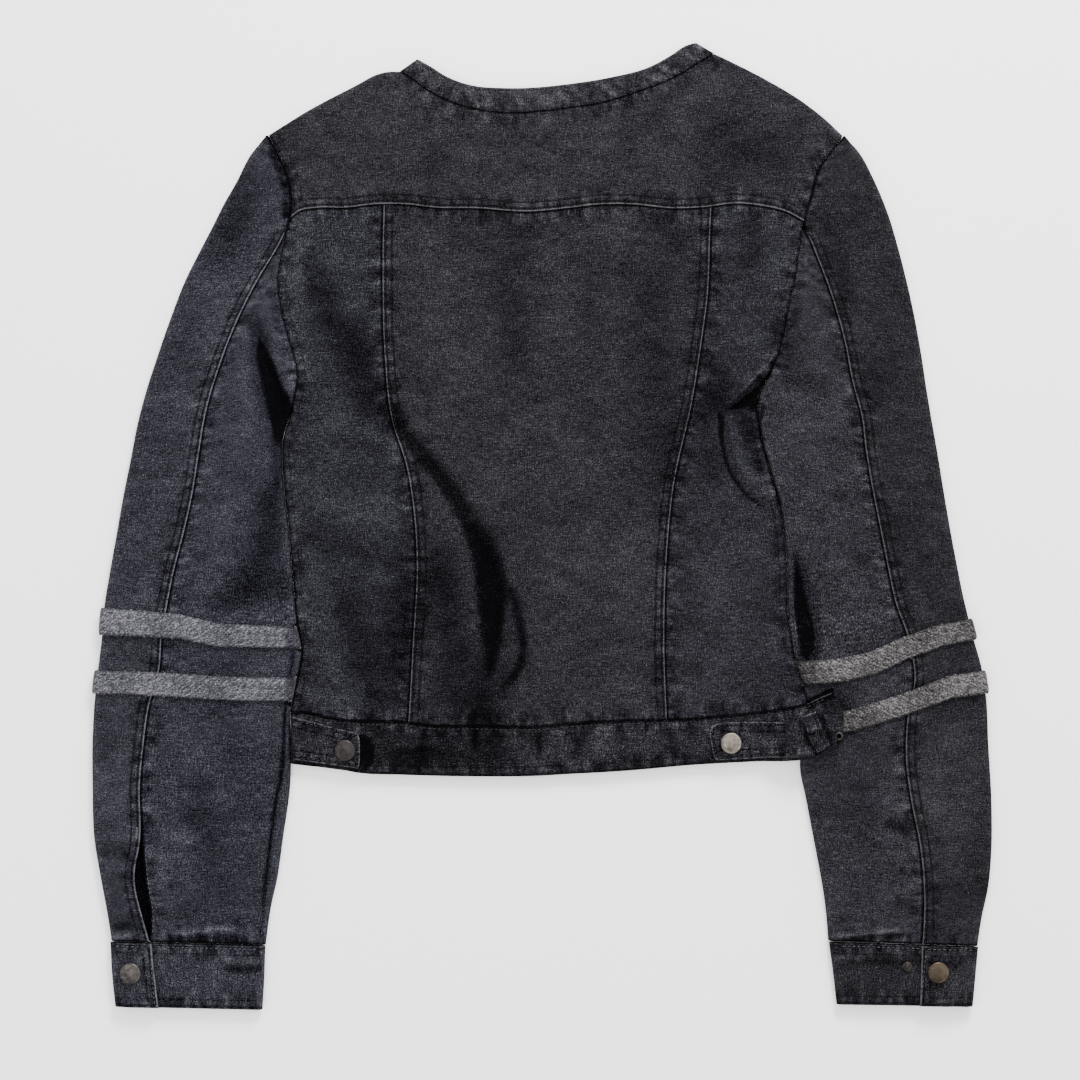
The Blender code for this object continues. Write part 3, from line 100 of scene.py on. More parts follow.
sleeveRight = [
    (214.4, 268.4, 207.4, 268, 1, 0), (220.8, 261.4, 200.5, 260.1, 1, 0),
    (230.6, 243.9, 191.4, 246, 1, 0), (236.9, 229.9, 187.9, 232.7, 1, 0),
    (242.5, 215.2, 182.3, 212.4, 1, 0), (248.1, 196.3, 179.5, 196.3, 0.876, 0),
    (254.4, 171.8, 176.8, 175.3, 0.746, 0), (260.1, 145.9, 172.5, 156.4, 0.639, 0),
    (264.9, 119.3, 167.6, 131.2, 0.553, 0), (268.4, 96.2, 161, 111.4, 0.494, 0),
    (271.9, 75.2, 151.3, 87.1, 0.417, 0), (276.8, 47.2, 152.9, 61.9, 0.416, 0),
    (281, 21.3, 160.6, 33.2, 0.425, 0), (285.2, -3.1, 168, 0.3, 0.425, 0),
    (290.1, -29, 171.1, -31.1, 0.413, 0), (294.3, -50, 171.8, -62.6, 0.390, 0),
    (297.8, -65.5, 176, -94.8, 0.359, 0), (301.3, -79.4, 180.6, -111, 0.363, 0),
    (306, -96, 184.4, -124, 0.385, 0), (309.8, -119.3, 182.6, -146, 0.432, 0),
    (311.8, -153.6, 180, -168.3, 0.444, 0), (313.9, -192.1, 184.4, -192.1, 0.439, 0),
    (313.9, -227.1, 190.8, -225.7, 0.408, 0), (311.8, -251.6, 195.6, -251.6, 0.396, 0),
    (306.9, -274.8, 198.4, -272.6, 0.377, 0), (304.1, -293.6, 199.8, -290.1, 0.376, 0),
]
armholeEnd, hemSection = 4, 18

cuffLeft = [
    (-301.9, -291, -193.6, -293.8, 0.270), (-300.8, -313, -194.3, -316, 0.285),
    (-298.5, -335.6, -195.6, -338, 0.300),
]
cuffRight = [
    (304.4, -294.6, 200.1, -291.1, 0.385), (302.6, -314, 203, -313, 0.389),
    (300.6, -335.6, 205.4, -334.2, 0.393),
]
knitBands = [
    # side, name, first and last section, waves in mm from the outer to the inner edge
    ("left", "upper", 15, 16.1, (0, 1, 1.4, -2.4, -0.8, 0.6)),
    ("left", "lower", 17.06, 17.72, (0, 0.6, 0.2, -0.6, -0.4, 0.6)),
    ("right", "upper", 16, 17, (0, 1.2, -1.2, -6, -4.9, -0.5)),
    ("right", "lower", 18.28, 18.95, (1, 3, -1, -4, -5.4, -2)),
]

yokeSeam = [
    (-176, 214.5), (-169, 219.6), (-158, 221.5), (-136.1, 221.8), (-118, 224),
    (-96.2, 224.1), (-74.5, 221.7), (-45.8, 221.3), (-8.8, 219), (17.8, 221.5), (40.2, 224),
    (61.9, 224), (92, 221.2), (113.7, 222.2), (135.4, 224.7), (153.6, 222.9), (170.4, 218.8),
    (182.3, 212.4),
]
waistSeam = [
    (-175.9, -130), (-162, -131.4), (-144.5, -135.4), (-127.7, -136.8), (-99.8, -137.2),
    (-77.3, -139.9), (-47.2, -140.3), (-1.8, -140.6), (28.3, -138), (59.1, -136.6),
    (104.6, -135.2), (127, -133.3), (150.1, -130.9), (170, -127.6), (184.4, -124),
]
waistEnd = [(184.4, -124), (193, -119.8), (201.2, -116.5)]
waistEndEdge = [(201.2, -116.5), (206.4, -122), (209.2, -129.5), (209.4, -141), (209, -149.6)]
hem = [
    (-175.9, -166.3), (-162.8, -167.8), (-144.5, -169.6), (-127, -172.8), (-99.8, -173.9),
    (-47.2, -175.1), (-1.8, -174.6), (12.2, -173.8), (59.1, -171.1), (104.6, -167.1),
    (150.1, -164.6), (172, -163.6), (186.5, -161.6), (199.8, -154.6), (209, -149.6),
]
princessLeft = [
    (-110.9, 223.8), (-111.6, 190), (-111.6, 164.1), (-110.2, 118.6), (-105.3, 73.8),
    (-94.8, 40.2), (-89.2, 2.4), (-87.8, -22.8), (-90.6, -83.6), (-93.6, -137.9),
]
princessRight = [
    (117.9, 222.8), (117.2, 208.9), (115.1, 158.5), (111.6, 131.9), (103.9, 83.6),
    (92, 30.4), (87.1, -15.7), (85, -83.6), (86.8, -136),
]
cornerLeft, cornerRight = (-191.6, 272.9), (210, 272.4)
shoulderLeft = [(-99.8, 317.4), (-108, 317.4), (-117.2, 315), (-127.7, 309.3), (-162.8, 290.8),
                cornerLeft]
shoulderRight = [(120, 330), (129.8, 325.4), (156.4, 311.8), (180.2, 297.6), (197.8, 284),
                 cornerRight]
neckSeam = [
    (-99.8, 317.4), (-90.6, 311.6), (-80.8, 304.4), (-62.6, 295.2), (-43.8, 290.1), (-26.2, 288),
    (-3.8, 289), (17.8, 291.4), (47.2, 296.6), (69.6, 303.8), (92, 312.8), (108, 322.4),
    (120, 330),
]
neckEdge = [
    (-87.8, 325.8), (-77.3, 319.8), (-66.1, 312.9), (-51.4, 307.6), (-26.2, 305.3), (-3.8, 305.8),
    (17.8, 308), (47.2, 312.7), (73.8, 319.7), (89.9, 328.2), (99.5, 334.6), (107.6, 337.2),
]
frontNeckSeam = {
    "left": [(-99.8, 317.4), (-94, 290), (-76, 258), (-42, 237), (8, 229.5)],
    "right": [(120, 330), (112, 294), (92, 260), (58, 237.5), (8, 229.5)],
}
frontNeckEdge = {
    "left": [(-87.8, 325.8), (-78, 294), (-62, 270), (-33, 253), (8, 247)],
    "right": [(107.6, 337.2), (97, 301), (79, 273), (49, 253.5), (8, 247)],
}

# folds: path, height (valleys are negative), width on the left and on the right hand of the path,
# and how much lighter or darker the cloth is painted along it: darker mostly as painted shade,
# lighter as rubbed ridges and painted highlight
largeFolds = [
    ([(-99.8, 90.6), (-78.8, 61.2), (-57.7, 34.6), (-37.4, 5.2), (-24.8, -24.1), (-21.3, -52.1),
      (-21.3, -80.1), (-26.2, -118)], 4.6, 40, 6.5, 0),
    ([(-112, 92), (-89.9, 50), (-73.1, 26.9), (-55.6, 3.8), (-44.4, -17.1), (-38.1, -41.6), (-36, -66.1),
      (-36.8, -87.1), (-36, -134)], -3, 8, 10, 0),
    ([(170, 133), (163.4, 120), (157.8, 111.6), (146.6, 101.1), (136.1, 92.8), (122, 79.5)],
     5.4, 2.8, 19, 0),
    ([(166, 110), (156, 99), (143, 88), (127, 76)], -3, 9, 4.5, 0),
    ([(122.5, 92), (123.5, 70), (128, 44), (138, 24), (160, 8)], -2.4, 6, 5, 0),
    ([(129.2, 80), (132.7, 57), (138.9, 40.2), (150.4, 22.2)], 2.6, 8, 3.6, 0.16),
    ([(-124, -44), (-105.3, -50), (-88, -46.1)], -1.4, 6, 6, -0.10),
    ([(-206, 160), (-199.1, 131.2), (-193.5, 110.2), (-187.2, 91.3), (-183, 73.8), (-182, 50)],
     -3.6, 6, 8, 0),
    ([(-200, 152), (-187, 117), (-178, 99), (-174.5, 80)], 2.4, 12, 4.5, 0.05),
    ([(-214, 146), (-207, 95), (-198, 40)], 2, 8, 22, 0.05),
    ([(166.5, 8), (174, -25), (180, -56), (184, -83.6), (191, -105.3), (208, -124), (213, -146),
      (214, -176)], -3.2, 5, 10, -0.10),
    ([(162, 108), (176.8, 101.6), (190.8, 96.6), (206, 94)], -1.7, 6, 8, -0.16),
    ([(240, -190), (252, -214), (262, -240)], -1.4, 9, 9, -0.05),
]
smallFolds = [
    # the main fold's second, thin valley, painted dark as shade, and the swell on its other side
    ([(-24.5, -36), (-18.5, -57), (-14.6, -74), (-13.6, -89), (-17.2, -101.2), (-24.7, -110.6), (-34, -119)],
     -1.7, 3, 3, -0.50),
    ([(-70.8, 3.8), (-59.1, -34.6), (-57.7, -69.6), (-64.8, -101.1)], 1.3, 12, 12, 0),
    # painted shade round the lower end of the main fold, and the left tab's painted shadow on the waistband
    ([(-91.4, 4), (-91, -25), (-92.8, -52.2), (-98.8, -90)], -0.6, 15, 13, -0.24),
    ([(-74, -6), (-67.6, -48), (-62.3, -84), (-57.4, -119), (-52.8, -153.7)], -0.5, 13, 13, -0.26),
    ([(-41, -88), (-41, -112), (-42, -130), (-43, -146)], -0.8, 13, 7.5, -0.30),
    ([(-119.4, -108.2), (-122.2, -128.2), (-120.4, -148.7), (-120.4, -170)], -0.5, 7, 7, -0.20),
    # soft valleys and ridges of the left side panel
    ([(-166.3, 192.5), (-154.4, 161.9), (-142.8, 134.7), (-133.4, 107.5), (-123.6, 82.3), (-109, 58.9)],
     -1.9, 11, 11, -0.26),
    ([(-176.8, 4.4), (-152.2, -12.3), (-122.1, -22.5), (-92.1, -28.1)], -1.5, 13, 10, -0.15),
    ([(-174, 22), (-150, 16), (-122, 10), (-98, 4)], 1.3, 12, 12, 0.05),
    ([(-146.2, -40.1), (-133.3, -69.6), (-119.3, -90.6), (-94.2, -106.5)], -1.8, 14, 8, -0.22),
    ([(-169.8, -45.1), (-154.3, -80.1), (-138.2, -119.1)], 1.4, 10, 10, 0.06),
    ([(-108, -58), (-101, -88), (-98, -126)], -1.1, 8, 7, -0.22),
    ([(-134, 152), (-124, 128), (-116, 104), (-106, 82), (-92, 64)], -0.3, 12, 11, -0.24),
    ([(-170, 236), (-170, 208), (-171.5, 180), (-175, 150)], 0.3, 7, 7, 0.20),
    ([(-138, -84), (-125, -103), (-113, -118), (-103, -133)], -0.3, 11, 11, -0.20),
    # painted shade beside the tuck
    ([(168, 156), (168, 138), (166, 122), (162, 110)], -0.2, 9, 9, -0.22),
    # the rim of the right tuck, painted lighter: a rubbed edge and a painted highlight
    ([(166.8, 124.4), (155.1, 111), (146.7, 101.9), (136.9, 91.4), (124.4, 79.6)], 1, 0.9, 1.1, 0.30),
    # below the yoke and down the right side panel
    ([(72.2, 222), (87.8, 202.6), (106.2, 184.6)], -0.9, 11, 9, -0.08),
    ([(87.8, 219.3), (90.6, 185.8), (99.6, 146.8)], -0.8, 8, 9, -0.05),
    ([(79, 54.8), (98, 64), (114, 82), (136, 112)], -1.3, 10, 9, -0.14),
    ([(116, 102), (113, 70), (118, 34)], -0.9, 6, 8, -0.10),
    ([(96, -20), (122, -44), (150, -60)], 0.9, 16, 16, 0.03),
    ([(55.6, 300.2), (58.4, 276.8), (57, 236.8)], -0.7, 8, 10, -0.05),
    ([(-60, 292), (-66, 262), (-84, 232)], -0.6, 12, 12, -0.03),
    ([(8, 150), (-4, 108), (6, 62)], 0.8, 26, 26, 0),
    ([(-21.4, 222.4), (-24.2, 185.9), (-21.4, 136.9), (-18, 100)], -0.5, 14, 14, -0.14),
    ([(78.8, 221.9), (76.7, 157.9), (82.3, 87.9), (83.7, 31.9), (78.8, -24.2)], -0.8, 13, 16, -0.17),
    ([(56, 200), (58, 150), (56, 90)], -0.3, 12, 12, -0.06),
    ([(110.3, 135.9), (118.7, 92.9), (121.5, 52.9), (118.7, 18.9)], -0.5, 16, 14, -0.11),
    ([(143.9, 221.9), (146.7, 200.9), (147, 176)], -0.5, 9, 9, -0.17),
    ([(96, 262), (118, 250), (140, 240)], -0.4, 26, 26, -0.10),
    ([(112, 298), (136, 274), (164, 258), (196, 250)], -0.3, 26, 24, -0.11),
    ([(30, -20), (52, -60), (48, -108)], 0.7, 20, 20, 0.02),
    # left sleeve
    ([(-246.7, 240.8), (-239.7, 206.8), (-229.9, 164.8)], 0.7, 12, 14, 0),
    ([(-203, 258), (-210, 232), (-220, 202), (-230, 172)], -1, 17, 14, -0.22),
    ([(-281.8, 87.8), (-290.1, 38.8), (-285.9, -12.1)], -0.8, 10, 9, -0.05),
    ([(-187.3, 40.9), (-189.4, 5.9), (-197.4, -27.2), (-216.8, -50.2)], -1.1, 11, 12, -0.26),
    ([(-240, -62), (-222, -54), (-204, -48), (-186, -45), (-168, -45)], -0.5, 13, 9, -0.28),
    # the pressed edge of its inner side, its crease painted dark as shade
    ([(-171, -64), (-172.4, -80.2), (-174.2, -92.7), (-176.6, -109.6), (-178.7, -123.6), (-180.1, -138.2),
      (-180.7, -155.7), (-182.6, -174.7), (-186.4, -194.2), (-190.6, -227.2), (-194.4, -260.2),
      (-195.6, -294)], -0.7, 1.2, 1.2, -0.62),
    ([(-308, -160), (-306, -186), (-300, -208)], 0.4, 16, 12, 0.14),
    ([(-236, 60), (-226, 10), (-232, -40)], 0.8, 14, 14, 0.03),
    ([(-246.5, -160.1), (-236.1, -196.1), (-230.9, -227.1), (-236.1, -262.1)], -1.2, 9, 12, -0.10),
    ([(-312.8, -217.8), (-296.8, -216.8), (-281, -223.3)], 1.1, 4.5, 4.5, 0.10),
    ([(-310.8, -231), (-297, -229), (-284, -231)], -0.9, 4, 4.5, -0.12),
    ([(-279.8, -215.5), (-262.3, -214.3), (-240.5, -224.5)], 1.2, 4.5, 5, 0.10),
    ([(-277.5, -226), (-268.5, -231), (-264, -242), (-267, -262)], 1.3, 3.4, 5, 0.14),
    ([(-268, -212), (-252, -206), (-236, -208)], -0.7, 4, 4, -0.08),
    ([(-269, -285.2), (-246, -284), (-226, -282.2), (-205, -283.4)], 1, 2.4, 1.8, 0.36),
    ([(-270, -287.6), (-246, -288.6), (-226, -288.4), (-198, -291.5)], -0.7, 2, 2, -0.28),
    ([(-303, -288.4), (-292, -286.6), (-280, -284)], 0.7, 1.8, 1.8, 0.34),
    ([(-303, -281), (-293, -279.5), (-283, -278.5)], -0.9, 3, 3, -0.30),
    # right sleeve
    ([(196.4, 231.8), (203, 199.8), (209.6, 171.8), (213.8, 140.8)], -1.4, 7, 9, -0.14),
    ([(190, 150), (196, 110), (190, 60), (196, 10)], 1, 16, 12, 0.05),
    ([(236.2, 44.8), (253.7, 3.8), (269.8, -42.1)], -0.8, 12, 12, -0.05),
    ([(258, 176), (262, 120), (266, 60)], -0.7, 10, 8, -0.04),
    ([(222, 136.9), (228, 104.9), (233, 72)], -0.5, 12, 9, -0.12),
    ([(284, -118), (291.9, -160), (291.9, -200), (283.8, -258)], 0.4, 16, 24, 0.15),
    ([(237.3, -188.1), (249.7, -203.5), (259.1, -214.3)], 1.1, 3.6, 4.5, 0.12),
    ([(238, -206), (249, -210.5), (259.1, -213.8)], -1.2, 3.6, 3.6, -0.30),
    ([(235, -224.5), (248.2, -219.5), (258.1, -216.8)], 0.8, 3.5, 4, 0.08),
    ([(279.4, -193.3), (270.4, -206.9), (262.4, -214.3)], 0.9, 4, 4, 0.06),
    ([(285, -225.7), (273.2, -220.5), (263.4, -215.8)], -0.9, 4, 4, -0.12),
    ([(246.6, -242), (256, -243), (263, -240)], -0.8, 3, 3, -0.25),
    ([(243.6, -259.9), (253.7, -264.6), (263.8, -265.8)], -0.9, 3.2, 3.2, -0.28),
    ([(244, -251), (254, -254), (263, -253)], 0.8, 3.2, 3.2, 0.10),
    ([(202, -160.1), (217.4, -192.1), (228.6, -220.1), (236.2, -252.1)], -1, 12, 12, -0.05),
    ([(200, -287.4), (216, -285.6), (236, -283.4), (260, -282.4)], 1, 2.2, 1.8, 0.38),
    ([(200, -290.4), (220, -288.8), (240, -286.6), (262, -285.4)], -0.7, 1.8, 1.8, -0.34),
    # cuffs: dark lines are painted shade, light ridges are rubbed edges and painted highlight
    ([(-226, -310), (-206, -309.2), (-182, -308)], -0.9, 2, 2.8, -0.42),
    ([(-228, -303), (-210, -303.6), (-194, -303.4)], 0.5, 3, 2.2, 0.12),
    ([(204, -305.6), (225, -304.6), (250, -304.4), (276, -305.4), (304, -309)], -0.7, 2.2, 3.2, -0.26),
    ([(200, -301.2), (212, -301), (227, -301.6)], 0.6, 2.4, 2.2, 0.22),
    # waistband: its creases are painted dark as shade, its ridges lighter as rubbed edges and painted
    # highlight
    ([(-132, -154), (-100, -156), (-60, -157), (-10, -157)], -0.2, 15, 18, -0.28),
    ([(-47.9, -126.4), (-47.2, -140.3), (-47.9, -159.9)], -1, 2.4, 2.6, -0.45),
    ([(-3.1, -141.8), (-2.4, -152.9), (-3.1, -166.3)], -0.9, 2, 2.2, -0.40),
    ([(44, -138), (41, -152), (40, -168)], 0.5, 8, 8, 0.14),
    ([(22, -140), (24, -152), (21, -168)], -0.6, 3.4, 3, -0.22),
    ([(-106, -151.5), (-92, -152.4), (-72, -151)], 0.6, 2.6, 2, 0.26),
    ([(-104, -156.5), (-90, -157), (-74, -155.6)], -0.6, 2, 2.6, -0.24),
    ([(-80, -142), (-84, -154), (-82, -172)], -0.7, 3, 4, -0.20),
    ([(92, -138), (90, -150), (94, -166)], -0.6, 3, 3.4, -0.22),
]


def smoothStep(t):
    t = np.clip(t, 0.0, 1.0)
    return t * t * (3.0 - 2.0 * t)


def throughRows(rows, steps):
    # a smooth curve through table rows, read at fractional row numbers
    rows, steps = np.asarray(rows, float), np.asarray(steps, float)
    chord = np.linalg.norm(np.diff(rows[:, :2], axis=0), axis=1)[:, None]
    slope = np.diff(rows, axis=0) / chord
    tangent = np.empty_like(rows)
    tangent[0], tangent[-1] = slope[0], slope[-1]
    tangent[1:-1] = (slope[:-1] * chord[1:] + slope[1:] * chord[:-1]) / (chord[:-1] + chord[1:])
    span = np.clip(steps.astype(int), 0, len(rows) - 2)
    t, h = (steps - span)[:, None], chord[span]
    return ((2 * t**3 - 3 * t**2 + 1) * rows[span] + (t**3 - 2 * t**2 + t) * h * tangent[span]
            + (3 * t**2 - 2 * t**3) * rows[span + 1] + (t**3 - t**2) * h * tangent[span + 1])


def curve(points, perSpan=8):
    return throughRows(points, np.linspace(0, len(points) - 1, (len(points) - 1) * perSpan + 1))


def lengths(line, axes=2):
    return np.append(0.0, np.cumsum(np.linalg.norm(np.diff(line[:, :axes], axis=0), axis=1)))


def units(vectors):
    return vectors / np.linalg.norm(vectors, axis=-1, keepdims=True)


def lefts(line):
    # the direction to a line's left hand at each of its points
    step = units(np.gradient(line[:, :2], axis=0))
    return np.stack([-step[:, 1], step[:, 0]], axis=1)


def raised(plan, height):
    return np.concatenate([plan, height[..., None]], axis=-1)


def shareGrids(columns, rows):
    return np.repeat(columns[:, None], len(rows), axis=1), np.repeat(rows[None], len(columns), axis=0)


def along(line, shares):
    run = lengths(line)
    where = np.asarray(shares) * run[-1]
    return np.stack([np.interp(where, run, line[:, k]) for k in range(line.shape[1])], axis=-1)


def acrossX(line, xs):
    order = np.argsort(line[:, 0])
    return np.stack([xs, np.interp(xs, line[order, 0], line[order, 1])], axis=-1)


def measure(points, line):
    # distance to a line, its left hand (1) or right hand (-1), how far along, and its third column
    shape = points.shape[:-1]
    points = points.reshape(-1, 2)
    start, step = line[:-1, :2], np.diff(line[:, :2], axis=0)
    size = np.linalg.norm(step, axis=1)
    results = [np.empty(len(points)) for _ in range(4)]
    for low in range(0, len(points), 20000):
        part = slice(low, low + 20000)
        offset = points[part, None] - start[None]
        t = np.clip((offset * step).sum(2) / size**2, 0.0, 1.0)
        gap = offset - t[..., None] * step
        square = (gap * gap).sum(2)
        near = square.argmin(axis=1)
        row = np.arange(len(near))
        tn, gn = t[row, near], gap[row, near]
        results[0][part] = np.sqrt(square[row, near])
        results[1][part] = np.sign(step[near, 0] * gn[:, 1] - step[near, 1] * gn[:, 0])
        results[2][part] = lengths(line)[near] + tn * size[near]
        results[3][part] = line[near, -1] * (1 - tn) + line[near + 1, -1] * tn
    return [r.reshape(shape) for r in results]


def softWaves(points, seed, shortest, longest, count=14):
    # an even, uneven-looking swell of about one unit, the same at each run
    rng = np.random.default_rng(seed)
    total = np.zeros(points.shape[:-1])
    for _ in range(count):
        size = shortest * (longest / shortest) ** rng.random()
        angle, phase = rng.random(2) * 2 * math.pi
        total += np.cos((points[..., 0] * math.cos(angle) + points[..., 1] * math.sin(angle))
                        * 2 * math.pi / size + phase)
    return total / math.sqrt(count / 2)


def wave(run, seed, period, count=7):
    rng = np.random.default_rng(seed)
    total = np.zeros(np.shape(run))
    for _ in range(count):
        size = period * (0.6 + 1.1 * rng.random())
        total += np.cos(run * 2 * math.pi / size + rng.random() * 2 * math.pi)
    return total / math.sqrt(count / 2)


foldLook = {
    "perSpan": 6,
    "room": 2.7,          # how far a fold is felt, in its widths
    "fade": 0.22,         # the share of its length over which it begins and ends
    "shadeRoom": 12.0,
    "swell": (0.16, 28.0, 75.0), "ripple": (0.05, 9.0, 20.0),      # height, shortest and longest wave
}


def foldForms(points):
    # the height that the folds add, and the tone painted along them: painted shade, rubbed edges and painted
    # highlight
    flat = points.reshape(-1, 2)
    rise, tone = np.zeros(len(flat)), np.zeros(len(flat))
    for path, height, left, right, toneShift in largeFolds + smallFolds:
        line = curve(path, foldLook["perSpan"])
        room = foldLook["room"] * max(left, right)
        low, high = line.min(axis=0) - room, line.max(axis=0) + room
        near = np.flatnonzero(((flat > low) & (flat < high)).all(axis=1))
        if not len(near):
            continue
        dist, side, run, _ = measure(flat[near], line)
        share = run / lengths(line)[-1]
        width = np.where(side > 0, left, right)
        shape = np.exp(-(dist / width) ** 2) * smoothStep(np.minimum(share, 1.0 - share) / foldLook["fade"])
        rise[near] += height * shape
        tone[near] += toneShift * shape
    return rise.reshape(points.shape[:-1]), tone.reshape(points.shape[:-1])


# painted shade inside the deepest folds and beside raised edges:
# outline points, how soft the outline is, and how dark it is
deepShades = [
    ([(-58, 4), (-50, 4), (-40, -10), (-32.5, -24), (-27.5, -38), (-26.6, -54), (-28, -70), (-30.5, -88),
      (-36.5, -102), (-41.5, -80), (-44.5, -52), (-46.5, -32), (-50.5, -14)], 2.6, -0.66),
    ([(-107.8, 75.3), (-104.7, 79.5), (-90, 62.7), (-77.4, 48), (-64.8, 33.3), (-54.3, 18.6), (-45.9, 3.9),
      (-37.5, -6.7), (-29.1, -21.4), (-24.9, -38.2), (-23.7, -50.8), (-27, -63.4), (-29.1, -80.2),
      (-32.1, -94.9), (-37.5, -105), (-40.5, -90.7), (-42.6, -76), (-44.7, -59.2), (-46.8, -42.4),
      (-48.9, -23.5), (-54.3, -6.7), (-60.6, 8.1), (-71.1, 24.9), (-82.6, 39.6), (-96.3, 56.4)], 3, -0.42),
    ([(-198.4, 133), (-188.5, 114.9), (-181, 95.5), (-174.9, 83.4), (-175.6, 76.1), (-181, 64.5),
      (-182.8, 55), (-186.6, 58.2), (-188.9, 68.3), (-191.7, 80.9), (-194.8, 93.5), (-198, 106),
      (-199.9, 118.7)], 1.7, -0.74),
    ([(-206, 146), (-198, 146), (-188, 118), (-190, 74), (-198, 84), (-204, 116)], 4.5, -0.24),
    ([(-190, 62), (-182, 58), (-180, 34), (-185, 26), (-189, 44)], 3, -0.24),
    # the shade of the yoke's edge on the left sleeve
    ([(-191, 270.6), (-183.4, 256), (-177, 241), (-174.9, 228), (-175.8, 214), (-179.5, 214), (-181, 230),
      (-184.6, 245), (-190.5, 260)], 2, -0.40),
    ([(160, 110.3), (155, 102.6), (146.7, 94.2), (136.9, 86.5), (130.6, 81.6), (141.8, 82.3), (151.6, 83.7),
      (150.2, 90), (153.7, 97.7), (159.3, 106.1)], 1.2, -0.80),
    # the shade of the body's edge on the right sleeve
    ([(176.6, -22), (180.6, -34.7), (183.6, -48.6), (187.6, -62.6), (189.6, -74), (188.6, -88), (183, -93),
      (179.6, -84), (177.4, -69.6), (176.2, -52.2), (176, -36)], 1.3, -0.68),
    ([(177, -20), (184, -30), (191, -50), (194, -74), (193, -92), (184, -96), (180, -70)], 3.4, -0.22),
    ([(134, 84), (150, 82), (151, 62), (152, 38), (146, 40), (139, 58)], 4, -0.26),
    ([(122.2, 80), (124, 79), (126.4, 58), (132, 38), (143, 22.6), (155.5, 12), (141.6, 20.6), (129.8, 38),
      (124, 58)], 0.6, -0.50),
    # painted shade along the sleeve's edge below the tuck, and on both sides of the belt loop
    ([(152.6, 84), (151.2, 72), (151.8, 62), (158.9, 36), (166, 12), (168.6, -2), (167.2, 12), (160.3, 36),
      (153.4, 62), (152.8, 72), (154.4, 84)], 0.6, -0.42),
    ([(178.8, -134), (182.2, -142), (186.2, -153), (185, -153.6), (180.9, -142.4), (177.6, -134.2)],
     0.7, -0.46),
    ([(191.4, -131.8), (195.2, -140), (200.2, -151.4), (201.6, -150.8), (196.8, -139.6), (193, -131.4)],
     0.7, -0.50),
    # painted shade along the waistband's upper edge over the sleeve
    ([(183.6, -122), (193, -117.6), (202, -114.2), (203.4, -118.8), (193.8, -122.4), (184.4, -126.8)],
     0.8, -0.62),
    # the left tab's shade on the waistband
    ([(-127.6, -146), (-122.8, -147), (-122.4, -171), (-127.6, -172)], 0.5, -0.56),
]


def paintedFoldShade(points):
    # how dark the painted shade makes a point inside the deepest folds
    tone = np.zeros(points.shape[:-1])
    for outline, soft, toneShift in deepShades:
        ring = curve(outline + outline[:1], 4)[:, :2]
        low, high = ring.min(axis=0) - foldLook["shadeRoom"], ring.max(axis=0) + foldLook["shadeRoom"]
        near = ((points > low) & (points < high)).all(axis=-1)
        if not near.any():
            continue
        inside = np.zeros(near.sum(), bool)
        some = points[near]
        for a, b in zip(ring[:-1], ring[1:]):
            crosses = (a[1] > some[:, 1]) != (b[1] > some[:, 1])
            if a[1] != b[1]:
                inside ^= crosses & (some[:, 0] < (b[0] - a[0]) * (some[:, 1] - a[1]) / (b[1] - a[1]) + a[0])
        dist = measure(some, ring)[0] * np.where(inside, 1.0, -1.0)
        tone[near] = np.minimum(tone[near], toneShift * smoothStep(0.5 + dist / (2.0 * soft)))
    return tone


def relief(points):
    rise = foldForms(points)[0]
    for seed, look in ((3, "swell"), (4, "ripple")):
        height, shortest, longest = foldLook[look]
        rise = rise + height * softWaves(points, seed, shortest, longest)
    return np.where(rise < 0.0, cloth["valleyDepth"] * np.tanh(rise / cloth["valleyDepth"]), rise)


# the folds' painted tone and the painted shade of the deepest folds, added to a piece's colour
def washAndPaintedShade(points):
    return foldForms(points)[1] + paintedFoldShade(points)


def hemRise(points):
    (sideAt, sideSlope), (lowAt, lowSlope) = cloth["riseSide"], cloth["riseBelow"]
    return (cloth["hemRise"] * smoothStep((points[..., 0] - sideAt) / sideSlope)
            * smoothStep((lowAt - points[..., 1]) / lowSlope))


def rounding(points, edges):
    # 1 on the flat, falling to 0 at a folded edge
    total = np.ones(points.shape[:-1])
    for line in edges:
        dist, _, _, folded = measure(points, line)
        reach = np.clip((dist - cloth["foldStart"]) / cloth["foldReach"], 0.0, 1.0)
        total *= 1.0 - folded * (1.0 - np.sqrt(1.0 - (1.0 - reach) ** 2))
    return total


def withFold(line, folded):
    return np.column_stack([line[:, :2], np.broadcast_to(folded, len(line))])


def sleeveLine(table, start, end, perSection=8):
    steps = np.linspace(start, end, int(abs(end - start) * perSection) + 1)
    rows = throughRows(table, steps)
    return rows[:, 0:2], rows[:, 2:4]


def joinEnds(line, start, end):
    share = (lengths(line) / lengths(line)[-1])[:, None]
    return line + (1 - share) * (np.asarray(start) - line[0]) + share * (np.asarray(end) - line[-1])


outerLeft, innerLeft = sleeveLine(sleeveLeft, 0, len(sleeveLeft) - 1)
outerRight, innerRight = sleeveLine(sleeveRight, 0, len(sleeveRight) - 1)


def sideFold(line, side):
    start, width = cloth["foldsBelow"][side]
    return withFold(line, smoothStep((start - line[:, 1]) / width))


